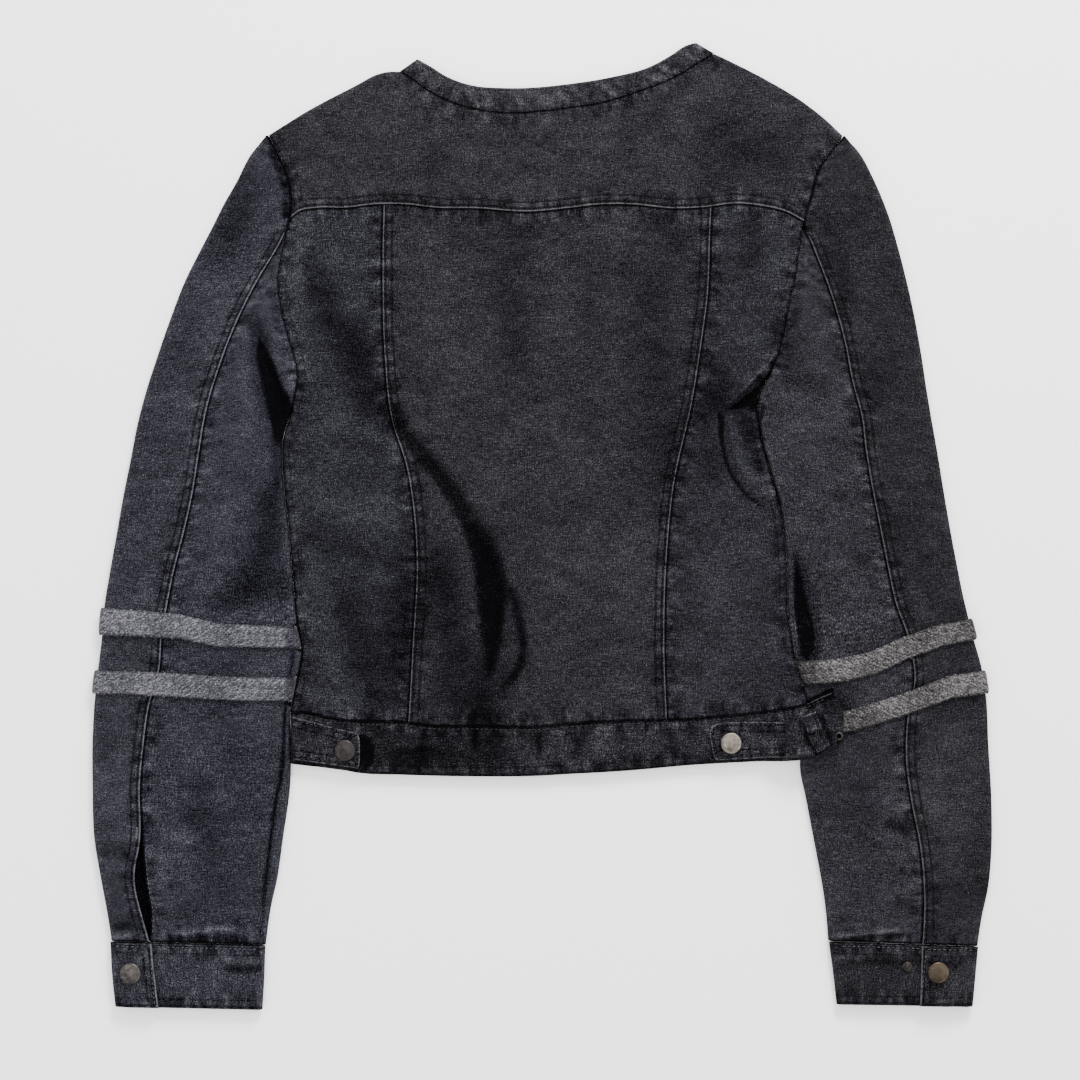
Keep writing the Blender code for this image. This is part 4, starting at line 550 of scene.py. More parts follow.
edgeLeft, edgeRight = sideFold(innerLeft, "left"), sideFold(innerRight, "right")
neckEndLeft = np.array([neckSeam[0], neckEdge[0]])
neckEndRight = np.array([neckSeam[-1], neckEdge[-1]])
outlineLeft = withFold(np.vstack([neckEndLeft[::-1], curve(shoulderLeft)[1:], outerLeft]), 1.0)
outlineRight = withFold(np.vstack([neckEndRight[::-1], curve(shoulderRight)[1:], outerRight]), 1.0)
bodyEdges = [outlineLeft, outlineRight, edgeLeft, edgeRight]
sideLeft = sleeveLine(sleeveLeft, hemSection, armholeEnd)[1]
sideRight = sleeveLine(sleeveRight, hemSection, armholeEnd)[1]
armholeLeft = np.vstack([sleeveLine(sleeveLeft, armholeEnd, 0)[1], [cornerLeft]])
armholeRight = np.vstack([sleeveLine(sleeveRight, armholeEnd, 0)[1], [cornerRight]])
yokeLine = joinEnds(curve(yokeSeam), sideLeft[-1], sideRight[-1])
waistLine = joinEnds(curve(waistSeam), sideLeft[0], sideRight[0])


def onLine(line, x):
    return acrossX(line, np.array([x]))[0]


def princessLine(points):
    return joinEnds(curve(points), onLine(yokeLine, points[0][0]), onLine(waistLine, points[-1][0]))[::-1]


seamLeft, seamRight = princessLine(princessLeft), princessLine(princessRight)
print("lines of the jacket are set out")


# materials

def screenColour(r, g, b):
    # a colour read on a screen, 0 to 255, as linear values
    values = [c / 255.0 for c in (r, g, b)]
    return (*[c / 12.92 if c <= 0.04045 else ((c + 0.055) / 1.055) ** 2.4 for c in values], 1.0)


class materialNodes:
    # short hands for building a material's nodes
    def __init__(self, name):
        self.material = bpy.data.materials.new(name)
        self.material.use_nodes = True
        self.tree = self.material.node_tree
        self.shader = self.tree.nodes["Principled BSDF"]

    def link(self, value, socket):
        if isinstance(value, bpy.types.NodeSocket):
            self.tree.links.new(value, socket)
        else:
            socket.default_value = value

    def node(self, kind, **settings):
        made = self.tree.nodes.new(kind)
        for key, value in settings.items():
            setattr(made, key, value)
        return made

    def fill(self, made, *values):
        for socket, value in zip(made.inputs, values):
            self.link(value, socket)
        return made.outputs[0]

    def math(self, operation, a, b=0.0, c=0.0, clamp=False):
        return self.fill(self.node("ShaderNodeMath", operation=operation, use_clamp=clamp), a, b, c)

    def attribute(self, name):
        return self.node("ShaderNodeAttribute", attribute_name=name).outputs["Fac"]

    def ranged(self, value, low, high, outLow=0.0, outHigh=1.0):
        made = self.node("ShaderNodeMapRange", interpolation_type="SMOOTHSTEP")
        for key, item in (("Value", value), ("From Min", low), ("From Max", high),
                          ("To Min", outLow), ("To Max", outHigh)):
            self.link(item, made.inputs[key])
        return made.outputs["Result"]

    def combine(self, x, y, z=0.0):
        return self.fill(self.node("ShaderNodeCombineXYZ"), x, y, z)

    def mapped(self, vector, scale, turn=0.0):
        made = self.node("ShaderNodeMapping")
        if turn:
            vector = self.mapped(vector, (1.0, 1.0, 1.0))
            vector.node.inputs["Rotation"].default_value = (0.0, 0.0, turn)
        self.link(vector, made.inputs["Vector"])
        made.inputs["Scale"].default_value = scale
        return made.outputs[0]

    def noise(self, vector, scale=1.0, detail=2.0, roughness=0.5):
        made = self.node("ShaderNodeTexNoise")
        self.link(vector, made.inputs["Vector"])
        made.inputs["Scale"].default_value = scale
        made.inputs["Detail"].default_value = detail
        made.inputs["Roughness"].default_value = roughness
        return made.outputs["Fac"]

    def base(self, value, stops, rough, specular):
        # the ramp as base colour, and how matt the surface is
        self.link(self.ramp(value, stops), self.shader.inputs["Base Color"])
        self.link(rough, self.shader.inputs["Roughness"])
        self.shader.inputs["Specular IOR Level"].default_value = specular

    def bump(self, height, strength, distance):
        made = self.node("ShaderNodeBump")
        made.inputs["Strength"].default_value = strength
        made.inputs["Distance"].default_value = distance
        self.link(height, made.inputs["Height"])
        self.link(made.outputs["Normal"], self.shader.inputs["Normal"])

    def ramp(self, value, stops):
        made = self.node("ShaderNodeValToRGB")
        self.link(value, made.inputs["Fac"])
        elements = made.color_ramp.elements
        while len(elements) < len(stops):
            elements.new(0.5)
        for element, (place, colour) in zip(elements, stops):
            element.position, element.color = place, screenColour(*colour)
        return made.outputs["Color"]


denimLook = {
    "fleck": 2.9,         # contrast of the light and dark flecks of the weave
    "thread": 0.9,        # of longer threads, both ways
    "cloud": 0.42,        # of the uneven wash
    "pucker": 1.7,        # of the wash on the puckers beside a seam
    "worn": 0.70,         # of the rubbed line on a seam's edge
    "dye": 0.55,          # how deep the dye is under the studio light
    "rough": 0.88,
    "flecks": (1300.0, 1050.0, 1.0), "warp": (1000.0, 190.0, 1.0), "weft": (170.0, 900.0, 1.0),
    "smudges": (46.0, 95.0, 1.0), "clouds": 21.0,      # how many of each in a metre
    "bump": (0.6, 0.0005),      # strength and height in metres
}


def denimMaterial(name, screen, spread, look=denimLook):
    # grey-washed denim: screen is its middle colour, spread the range that the washing and the painted shade
    # cover
    n = materialNodes(name)
    uv = n.node("ShaderNodeUVMap", uv_map="cloth").outputs["UV"]
    place = n.node("ShaderNodeTexCoord").outputs["Object"]
    flecks = n.noise(n.mapped(uv, look["flecks"]), 1.0, 2.0, 0.75)
    warp = n.noise(n.mapped(uv, look["warp"]), 1.0, 2.0, 0.6)
    weft = n.noise(n.mapped(uv, look["weft"]), 1.0, 2.0, 0.6)
    clouds = n.noise(place, look["clouds"], 3.0, 0.6)
    smudges = n.noise(n.mapped(uv, look["smudges"]), 1.0, 2.0, 0.55)
    dist, run, lapped = n.attribute("seamDist"), n.attribute("seamRun"), n.attribute("lapped")
    rub = n.noise(n.combine(n.math("MULTIPLY", run, 0.15), n.math("MULTIPLY", dist, 0.06)), 1.0, 2.0, 0.6)
    fineRub = n.noise(n.combine(n.math("MULTIPLY", run, 0.4), n.math("MULTIPLY", dist, 0.12), 3.0),
                      1.0, 2.0, 0.6)
    near = n.ranged(dist, 3.0, 15.0, 1.0, 0.0)
    puckers = n.math("MULTIPLY", n.math("SUBTRACT", rub, 0.52), near)
    edge = n.math("MULTIPLY", n.ranged(dist, 0.5, 1.05, 1.0, 0.0), n.ranged(fineRub, 0.3, 0.55, 0.5, 1.0))
    edge = n.math("MULTIPLY", edge, lapped)
    beside = n.math("MULTIPLY", n.ranged(dist, 1.15, 1.7, 0.0, 1.0), n.ranged(dist, 2.0, 3.1, 1.0, 0.0))
    second = n.math("MULTIPLY", n.ranged(dist, 5.4, 6.1, 0.0, 1.0), n.ranged(dist, 6.4, 7.8, 1.0, 0.0))
    lines = n.math("MULTIPLY_ADD", second, n.ranged(fineRub, 0.3, 0.6, 1.1, 0.5), beside)
    lines = n.math("MULTIPLY", lines, lapped)
    # painted shadow: a dark line on the lower piece beside a seam, where the lapping piece's edge shades it
    under = n.math("MULTIPLY", n.ranged(dist, 0.6, 2.2, 1.0, 0.0), n.math("SUBTRACT", 1.0, lapped))
    value = 0.44
    # the per-point tone attribute adds rubbed folds and edges together with painted shade and painted
    # highlight
    for part, middle, amount in (
            (flecks, 0.5, look["fleck"]), (warp, 0.5, look["thread"]), (weft, 0.5, look["thread"]),
            (clouds, 0.5, look["cloud"]), (smudges, 0.5, look["cloud"]), (puckers, 0.0, look["pucker"]),
            (n.attribute("wearAndPaintedShade"), 0.0, 1.0), (lines, 0.0, -0.46), (under, 0.0, -0.55)):
        part = n.math("SUBTRACT", part, middle) if middle else part
        value = n.math("MULTIPLY_ADD", part, amount, value)
    value = n.math("MULTIPLY_ADD", edge, look["worn"], value, clamp=True)
    middle, spread = np.array(screen, float) * look["dye"], spread * look["dye"]
    # the darkest stop is the near-black of the painted shade in the deepest folds
    stops = [(0.0, (2.0, 1.6, 2.4)), (0.2, np.maximum(middle - spread * 1.3, 4.0)), (0.45, middle),
             (0.72, middle + spread * 1.2), (1.0, middle + spread * 4.2)]
    n.base(value, stops, look["rough"], 0.02)
    bumps = n.math("MULTIPLY_ADD", n.math("ADD", warp, weft), 0.35, n.math("MULTIPLY", flecks, 0.6))
    n.bump(n.math("MULTIPLY_ADD", n.math("MULTIPLY", rub, near), 0.9, bumps), *look["bump"])
    return n.material


knitLook = {
    "left": (62, 61, 67), "right": (55, 53, 54), "spread": 22, "rough": 0.95,
    "loop": (2.1, 1.7), "rise": 0.12, "fuzz": 0.12,      # millimetres
    "slant": 0.7, "specks": 2.1, "strokes": 1.3, "rows": 0.06, "clouds": 0.7, "edge": -0.22,
    "bump": (0.5, 0.0008), "columns": 190, "columnsBelow": 16, "steps": 31, "frayed": 0.35,
    "shade": {"left": 0.30, "right": 0.16},      # of the body on a band's inner end
}


def knitMaterial(name, side):
    n = materialNodes(name)
    uv = n.node("ShaderNodeUVMap", uv_map="cloth").outputs["UV"]
    place = n.node("ShaderNodeTexCoord").outputs["Object"]
    specks = n.noise(n.mapped(uv, (900.0, 800.0, 1.0)), 1.0, 2.0, 0.7)
    strokes = n.noise(n.mapped(uv, (220.0, 760.0, 1.0), knitLook["slant"]), 1.0, 1.0, 0.5)
    clouds = n.noise(place, 40.0, 2.0, 0.5)
    across = n.node("ShaderNodeSeparateXYZ")
    n.link(uv, across.inputs[0])
    rows = n.math("SINE", n.math("MULTIPLY", across.outputs["Y"], 2 * math.pi / (knitLook["loop"][1] * mm)))
    value = n.math("MULTIPLY_ADD", rows, knitLook["rows"], 0.5)
    for part, amount in ((specks, knitLook["specks"]), (strokes, knitLook["strokes"]),
                         (clouds, knitLook["clouds"])):
        value = n.math("MULTIPLY_ADD", n.math("SUBTRACT", part, 0.5), amount, value)
    # the per-point tone attribute adds the painted shade of the body on the band's inner end
    value = n.math("MULTIPLY_ADD", n.attribute("wearAndPaintedShade"), 1.0, value)
    value = n.math("MULTIPLY_ADD", n.ranged(n.attribute("seamDist"), 0.2, 1.8, 1.0, 0.0),
                   knitLook["edge"], value, clamp=True)
    middle, spread = np.array(knitLook[side], float), knitLook["spread"]
    stops = [(0.0, middle - spread * 1.8), (0.5, middle), (1.0, middle + spread * 2.2)]
    n.base(value, stops, knitLook["rough"], 0.04)
    n.shader.inputs["Sheen Weight"].default_value = 0.06
    n.bump(n.math("MULTIPLY_ADD", specks, 0.5, n.math("MULTIPLY", strokes, 0.9)), *knitLook["bump"])
    return n.material


threadLook = {
    "length": 2.5, "step": 3.3, "wide": 0.6, "high": 0.5, "proud": 0.06,      # millimetres
    "sway": 0.05, "uneven": 0.06,      # how much direction and size vary
    "dark": (20, 19, 22), "middle": (40, 39, 43), "light": (62, 61, 66), "rough": 0.8,
}


def threadMaterial(name, screen):
    n = materialNodes(name)
    place = n.node("ShaderNodeTexCoord").outputs["Object"]
    twist = n.noise(place, 900.0, 1.0, 0.5)
    middle = np.array(screen, float)
    n.base(twist, [(0.3, middle * 0.6), (0.7, middle * 1.3)], threadLook["rough"], 0.06)
    return n.material


metalLook = {
    # rough, darkest, lightest
    "nickel": (0.34, (76, 71, 65), (146, 137, 128)),
    "grey": (0.38, (31, 29, 29), (62, 59, 58)),
    "silver": (0.34, (38, 36, 36), (82, 77, 75)),
    "brown": (0.38, (46, 40, 33), (86, 76, 65)),
    "worn": (0.40, (22, 21, 21), (66, 62, 60)),
    # painted light: metal is painted paler towards its upper right, its lit side
    "lean": 0.16,         # how much paler a piece is towards its upper right
}
buttonMetal = {"waist_button_left": "grey", "waist_button_right": "nickel", "cuff_button_left": "silver",
               "cuff_button_right": "brown"}


def metalMaterial(name, kind, node):
    rough, dull, bright = metalLook[kind]
    low, high = (np.array(corner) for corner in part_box(node))
    lean = metalLook["lean"] / (high[0] - low[0])
    n = materialNodes(name)
    place = n.node("ShaderNodeTexCoord").outputs["Object"]
    tarnish = n.noise(place, 260.0, 4.0, 0.65)
    scratches = n.noise(n.mapped(place, (300.0, 2200.0, 300.0)), 1.0, 2.0, 0.5)
    value = n.math("MULTIPLY_ADD", n.math("SUBTRACT", scratches, 0.5), 0.4, tarnish)
    # painted light: paler towards the upper right, darker towards the lower left
    spot = n.node("ShaderNodeSeparateXYZ")
    n.link(place, spot.inputs[0])
    for axis, share in ((0, 0.6), (1, 1.0)):
        offset = n.math("SUBTRACT", spot.outputs[axis], float(low[axis] + high[axis]) / 2)
        value = n.math("MULTIPLY_ADD", offset, float(lean) * share * 2.0, value)
    n.base(value, [(0.25, dull), (0.8, bright)],
           n.ranged(tarnish, 0.3, 0.8, rough + 0.12, rough - 0.06), 0.5)
    n.shader.inputs["Metallic"].default_value = 1.0
    n.bump(scratches, 0.25, 0.0002)
    return n.material


# cloth meshes

def gridNormals(grid, closed=False):
    du = np.roll(grid, -1, axis=0) - np.roll(grid, 1, axis=0) if closed else np.gradient(grid, axis=0)
    normal = np.cross(du, np.gradient(grid, axis=1))
    return normal / np.maximum(np.linalg.norm(normal, axis=2, keepdims=True), 1e-9)


def outward(grid, upper=np.s_[:]):
    # normals, turned so that those of the upper rows point up
    normal = gridNormals(grid)
    return -normal if normal[upper][..., 2].mean() < 0 else normal


# the last fact holds rubbed folds and edges together with painted shade and painted highlight
factNames = ("seamDist", "seamRun", "lapped", "wearAndPaintedShade")
clothFaces = {}       # points and faces of each piece, on which the stitches are set


def clothMesh(name, outer, inner, uv, facts, material, closed=False):
    # one closed wall between two grids of points, with its uv map and what its pattern follows
    columns, rows = outer.shape[:2]
    spans = columns if closed else columns - 1
    i, j = np.meshgrid(np.arange(spans), np.arange(rows - 1), indexing="ij")
    i, j = i.ravel(), j.ravel()
    back = columns * rows
    i1 = (i + 1) % columns

    def quads(corners, layer):
        return np.stack([layer + c * rows + r for c, r in corners], axis=1)

    def places(corners):
        return np.stack([np.stack([c, r], axis=1) for c, r in corners], axis=1)

    face = [(i, j), (i1, j), (i1, j + 1), (i, j + 1)]
    spot = [(i, j), (i + 1, j), (i + 1, j + 1), (i, j + 1)]
    allFaces = [quads(face, 0), quads(face[::-1], back)]
    allSpots = [places(spot), places(spot[::-1])]
    k, k1 = np.arange(spans), (np.arange(spans) + 1) % columns
    for row, turn in ((0, False), (rows - 1, True)):
        ring = [k * rows + row, back + k * rows + row, back + k1 * rows + row, k1 * rows + row]
        where = [(k, k * 0 + row), (k, k * 0 + row), (k + 1, k * 0 + row), (k + 1, k * 0 + row)]
        allFaces.append(np.stack(ring[::-1] if turn else ring, axis=1))
        allSpots.append(places(where[::-1] if turn else where))
    if not closed:
        r = np.arange(rows - 1)
        for column, turn in ((0, True), (columns - 1, False)):
            base = column * rows
            ring = [base + r, back + base + r, back + base + r + 1, base + r + 1]
            where = [(r * 0 + column, r), (r * 0 + column, r), (r * 0 + column, r + 1),
                     (r * 0 + column, r + 1)]
            allFaces.append(np.stack(ring[::-1] if turn else ring, axis=1))
            allSpots.append(places(where[::-1] if turn else where))
    faces, spots = np.concatenate(allFaces), np.concatenate(allSpots)
    if (gridNormals(outer, closed) * (outer - inner)).sum() < 0:
        faces, spots = faces[:, ::-1], spots[:, ::-1]
    spots = spots.reshape(-1, 2)
    points = np.concatenate([outer.reshape(-1, 3), inner.reshape(-1, 3)]) * mm
    mesh = bpy.data.meshes.new(name)
    mesh.vertices.add(len(points))
    mesh.vertices.foreach_set("co", points.astype(np.float32).ravel())
    mesh.loops.add(faces.size)
    mesh.loops.foreach_set("vertex_index", faces.astype(np.int32).ravel())
    mesh.polygons.add(len(faces))
    mesh.polygons.foreach_set("loop_start", np.arange(len(faces), dtype=np.int32) * 4)
    mesh.update(calc_edges=True)
    mesh.materials.append(material)
    layer = mesh.uv_layers.new(name="cloth")
    layer.data.foreach_set("uv", (uv[spots[:, 0], spots[:, 1]] * mm).astype(np.float32).ravel())
    for key in factNames:
        value = facts.get(key)
        value = np.broadcast_to(0.0 if value is None else value, (columns, rows)).ravel()
        # the inner wall can be painted darker than the outer: painted shade seen through the open slit
        inside = value + facts.get("inside", 0.0) if key == "wearAndPaintedShade" else value
        data = mesh.attributes.new(key, "FLOAT", "POINT")
        data.data.foreach_set("value", np.concatenate([value, inside]).astype(np.float32))
    mesh.shade_smooth()
    mesh.set_sharp_from_angle(angle=math.radians(55.0))
    made = bpy.data.objects.new(name, mesh)
    bpy.context.collection.objects.link(made)
    clothFaces[name] = (points, faces)
    return made


def unrolled(around, run):
    # the flat places of a grid's points
    return np.stack(np.meshgrid(around, run, indexing="ij"), axis=-1)


def addFacts(facts, *values):
    for key, value in zip(factNames, values):
        facts[key].append(value)


def surfaceArea(grid):
    a = np.cross(grid[1:, :-1] - grid[:-1, :-1], grid[:-1, 1:] - grid[:-1, :-1])
    b = np.cross(grid[1:, 1:] - grid[1:, :-1], grid[1:, 1:] - grid[:-1, 1:])
    return float(np.linalg.norm(a, axis=2).sum() + np.linalg.norm(b, axis=2).sum()) / 2 * mm * mm


def declare(piece, node, grid, closed=False):
    if closed:
        grid = np.concatenate([grid, grid[:1]])
    area = surfaceArea(grid)
    wide = float(np.linalg.norm(np.diff(grid, axis=0), axis=2).sum(axis=0).max()) * mm
    long = float(np.linalg.norm(np.diff(grid, axis=1), axis=2).sum(axis=1).max()) * mm
    area = min(area, wide * long)
    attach(piece, "root")
    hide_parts(node)


def rimNormal(normal, folded):
    folded = np.broadcast_to(folded, normal.shape[:-1])[..., None]
    rim = normal * folded * (1.0, 1.0, 0.0) + (1.0 - folded) * np.array([0.0, 0.0, 1.0])
    return rim / np.maximum(np.linalg.norm(rim, axis=-1, keepdims=True), 1e-9)


def denimPiece(node, outer, inner, uv, facts, look):
    material = denimMaterial(node + "_denim", *look)
    made = clothMesh(node + "_cloth", outer, inner, uv, facts, material)
    declare(made, node, outer, False)


def wallOf(node, plan, lift, thickness, facts, look):
    # a wall of even or given thickness, standing straight up from its plan
    denimPiece(node, raised(plan, lift + thickness), raised(plan, lift), plan, facts, look)


def layDown(node, plan, height, thickness, edges, seamRows, facts, look):
    # an upper-layer panel whose face has the given height, turned down at its folded edges
    outer = raised(plan, height)
    facts["wearAndPaintedShade"] = facts.get("wearAndPaintedShade", 0.0) + washAndPaintedShade(plan)
    normal = outward(outer)
    turned = rounding(plan, edges)
    folded = np.clip(1.0 - turned / 0.6, 0.0, 1.0)
    for rim in (np.s_[0], np.s_[-1], np.s_[:, 0], np.s_[:, -1]):
        normal[rim] = rimNormal(normal[rim], folded[rim])
    for row in seamRows:
        run = units(np.gradient(plan[:, row], axis=0))
        level = (normal[:, row, :2] * run).sum(axis=1, keepdims=True) * run
        normal[:, row] = units(np.concatenate([level, normal[:, row, 2:]], axis=1))
    depth = cloth["denim"] + (thickness - cloth["denim"]) * turned
    denimPiece(node, outer, outer - normal * depth[..., None], plan, facts, look)


puckerLook = {"height": 0.30, "reach": 9.0, "period": 9.0, "swell": 45.0, "start": 1.2}


def seamPucker(dist, run, seed, height=puckerLook["height"], reach=puckerLook["reach"]):
    # the small waves that a seam draws into the cloth beside it
    strength = 0.55 + 0.45 * wave(run, seed + 40, puckerLook["swell"])
    return (height * np.exp(-(dist / reach) ** 2) * wave(run, seed, puckerLook["period"]) * strength
            * smoothStep(dist / puckerLook["start"]))


def seamFacts(plan, seams):
    # distance to the nearest seam, how far along it, whether this side laps over, and its relief
    best = np.full(plan.shape[:-1], 1e3)
    run, lapped, rise = np.zeros_like(best), np.zeros_like(best), np.zeros_like(best)
    for line, side, isLap, seed, *worn in seams:
        dist, hand, where, _ = measure(plan, line)
        if side:
            dist = np.where(hand * side >= 0, dist, 0.0)
        if len(worn) > 1:
            dist = dist + worn[1]
        closer = dist < best
        best = np.where(closer, dist, best)
        run = np.where(closer, where + 1000.0 * seed, run)
        lapped = np.where(closer, worn[0] if worn else float(isLap), lapped)
        if isLap:
            strip = 1.0 - smoothStep((dist - cloth["lapWidth"]) / cloth["lapSlope"])
            rise = rise + cloth["lapRise"] * strip + stitchGroove(dist)
        rise = rise + seamPucker(dist, where, 50 + seed, reach=9.0 if isLap else 7.0)
    return {"seamDist": best, "seamRun": run, "lapped": lapped}, rise


grooveLook = {"deep": 0.30, "near": (1.9, 0.75), "far": (6.2, 0.9)}      # place and width of each row


def stitchGroove(dist):
    # how far the two rows of stitches draw a lapped seam in
    (near, nearWide), (far, farWide) = grooveLook["near"], grooveLook["far"]
    rows = np.exp(-((dist - near) / nearWide) ** 2) + np.exp(-((dist - far) / farWide) ** 2)
    return -grooveLook["deep"] * rows


def bodyHeight(points, low, extra=0.0):
    lift = hemRise(points)
    full = cloth["loft"] + relief(points) * (1.0 - lift / cloth["hemRise"]) + lift + extra
    base = low + lift * cloth["slopeRoom"]
    return base + (full - base) * rounding(points, bodyEdges)


def spread(length, size, start=(), end=()):
    # shares across a piece: set distances from its two edges, and even steps between
    gap = cloth["seamGap"] / 2
    first = [gap] + [gap + d for d in start]
    last = [gap] + [gap + d for d in end]
    inner = length - first[-1] - last[-1]
    count = max(2, int(round(inner / size)))
    even = [first[-1] + inner * k / count for k in range(1, count)]
    return np.array(first + even + [length - d for d in reversed(last)]) / length


def patch(bottom, top, left, right, ends, u, v):
    # the even surface between four edges; ends are its corners, the lower pair first
    corners = ((1 - u) * (1 - v) * ends[0] + u * (1 - v) * ends[1] + (1 - u) * v * ends[2] + u * v * ends[3])
    return (1 - v) * bottom + v * top + (1 - u) * left + u * right - corners


def panelPlan(left, right, bottom, top, us, vs):
    ends = (left[0], right[0], left[-1], right[-1])
    return patch(bottom[:, None], top[:, None], left[None], right[None], ends, us[..., None], vs[..., None])


foldSteps = (0.25, 0.7, 1.4, 2.3, 3.5)
foldPlaces = (0.0, *foldSteps)
seamSteps = (0.8, 1.8)
lapSteps = (0.8, 1.3, 1.9, 2.6, 3.8, 5.2, 5.8, 6.3, 6.9, 7.7)
lowEdge = cloth["denim"] + cloth["seamGap"]
bandLow = cloth["folded"] + cloth["seamGap"]

# the back

backLooks = {
    "back_yoke": ((48, 47, 53), 16),
    "back_centre": ((46, 45, 52), 17),
    "back_side_left": ((46, 45, 54), 19),
    "back_side_right": ((45, 44, 52), 17),
}
seamYoke = (yokeLine, 0, 0, 1)
seamWaist = (waistLine, 0, 0, 2)
backPanels = [
    # name, left line, right line, extra columns left and right, seams
    ("back_side_left", sideLeft, seamLeft, foldSteps, seamSteps,
     [seamYoke, seamWaist, (seamLeft, 0, 0, 3), (sideLeft, 0, 0, 5, 0.3, 0.9)]),
    ("back_centre", seamLeft, seamRight, lapSteps, lapSteps,
     [seamYoke, seamWaist, (seamLeft, -1, 1, 3), (seamRight, 1, 1, 4)]),
    ("back_side_right", seamRight, sideRight, seamSteps, foldSteps,
     [seamYoke, seamWaist, (seamRight, 0, 0, 4), (sideRight, 0, 0, 6, 0.3, 0.9)]),
]


def splitLine(line, x0, x1):
    xs = line[(line[:, 0] > x0 + 0.5) & (line[:, 0] < x1 - 0.5), 0]
    return acrossX(line, np.concatenate([[x0], xs, [x1]]))


def makeBackPanel(name, left, right, start, end, seams):
    size = cloth["fineGrid"] if name == "back_side_right" else cloth["grid"]
    yoke = splitLine(yokeLine, left[-1, 0], right[-1, 0])
    waist = splitLine(waistLine, left[0, 0], right[0, 0])
    width = 0.5 * (lengths(yoke)[-1] + lengths(waist)[-1])
    columns = spread(width, size, start, end)
    rows = spread(lengths(left)[-1], size, seamSteps, seamSteps)
    us, vs = shareGrids(columns, rows)
    plan = panelPlan(along(left, rows), along(right, rows), along(waist, columns), along(yoke, columns),
                     us, vs)
    facts, rise = seamFacts(plan, seams)
    layDown(name, plan, bodyHeight(plan, lowEdge, rise), cloth["denim"], bodyEdges, (0, -1), facts,
            backLooks[name])


def makeYoke():
    bottom = along(yokeLine, spread(lengths(yokeLine)[-1], cloth["grid"]))
    share = (bottom[:, 0] - bottom[0, 0]) / np.ptp(bottom[:, 0])
    xs = cornerLeft[0] + 0.2 + share * (cornerRight[0] - cornerLeft[0] - 0.4)
    for corner in (neckSeam[0][0], neckSeam[-1][0]):
        xs[np.abs(xs - corner).argmin()] = corner
    top = np.vstack([curve(shoulderLeft)[::-1], curve(neckSeam)[1:], curve(shoulderRight)[1:]])
    top = acrossX(top, xs)
    size = 0.5 * (lengths(armholeLeft)[-1] + lengths(armholeRight)[-1])
    rows = spread(size, cloth["grid"] * 0.62, lapSteps, foldSteps)
    us, vs = shareGrids(share, rows)
    inset = np.array([cloth["seamGap"] / 2, 0.0])
    plan = panelPlan(along(armholeLeft, rows) + inset, along(armholeRight, rows) - inset, bottom, top, us, vs)
    facts, rise = seamFacts(plan, [(yokeLine, 1, 1, 1), (armholeLeft, 0, 0, 5, 0.4),
                                   (armholeRight, 0, 0, 6, 0.1, 0.9),
                                   (curve(neckSeam), 0, 0, 7, 0.0, 0.6)])
    layDown("back_yoke", plan, bodyHeight(plan, lowEdge, rise), cloth["denim"], bodyEdges, (0,), facts,
            backLooks["back_yoke"])
    return top


neckTop = makeYoke()
for panel in backPanels:
    makeBackPanel(*panel)
print("back is laid")


# the left sleeve is paler than the right: partly its own washing, partly painted light for a more brightly
# lit left side
sleeves = {
    "left": {"table": sleeveLeft, "edge": edgeLeft, "top": ((57, 56, 67), 19), "under": ((54, 54, 65), 19),
             "tip": [(-193.2, 272.3, -191.4, 272.1, 1.0, 0.0), (-194.6, 270.6, -190.4, 270.3, 1.0, 0.0)]},
    "right": {"table": sleeveRight, "edge": edgeRight, "top": ((43, 41, 47), 15), "under": ((52, 50, 58), 18),
              "tip": [(211.6, 271.9, 209.8, 271.7, 1.0, 0.0), (212.8, 270.3, 208.6, 269.9, 1.0, 0.0)]},
}
for side, sleeve in sleeves.items():
    spans = [(first, last) for where, _, first, last, _ in knitBands if where == side]
    sleeve["zone"] = (min(s[0] for s in spans), max(s[1] for s in spans))


def inBandZone(side, steps):
    first, last = sleeves[side]["zone"]
    return smoothStep((steps - first + 1.0) / 0.75) * smoothStep((last + 1.0 - steps) / 0.75)


# the fronts, which lie on the floor under the back

frontLook = {
    "denim": ((50, 49, 55), 14),       # middle colour, range of the wash
    "blend": 0.35,                     # share of its width over which the side's outline is evened out
    "beforeBand": 0.045, "afterBand": 0.005, "bandSlope": 0.03,       # in sleeve sections
}


def frontLift(points, rise):
    lapEdge = cloth["centre"] - cloth["closure"]
    return rise * smoothStep((points[..., 0] - lapEdge + cloth["lapRamp"] + 3.0) / cloth["lapRamp"])


frontSteps = (14.4, 14.6, 14.8, 14.88, 14.92, 14.94, 14.96, 16.09, 16.11, 16.13, 16.16, 16.22, 16.4,
              16.9, 16.94, 16.98, 17.0, 17.02, 17.71, 17.73, 17.75, 17.78, 17.84)
frontXs = {
    "left": (-150.0, -130.0, -99.8, -98.6, -96.5, -93.0, -90.0, -85.0, -80.0, -72.0, -64.0, -53.0, -42.0,
             -30.0, -17.0, -14.0, -11.0, -8.0, 6.0, 21.0),
    "right": (181.0, 176.0, 170.0, 163.0, 156.0, 148.0, 134.0, 120.0, 118.0, 116.0, 112.0, 108.0, 102.0,
              96.0, 87.0, 78.0, 68.0, 58.0, 44.0, 30.0, 12.0, -5.0),
}
frontParts = {
    "left": (sleeveLeft, cornerLeft, shoulderLeft),
    "right": (sleeveRight, cornerRight, shoulderRight),
}


def frontTop(side):
    xs = np.array(frontXs[side])
    neck = frontNeckSeam[side]
    line = np.vstack([curve(frontParts[side][2])[::-1], curve(neck)[1:], [(xs[-1], neck[-1][1])]])
    return acrossX(line, xs)


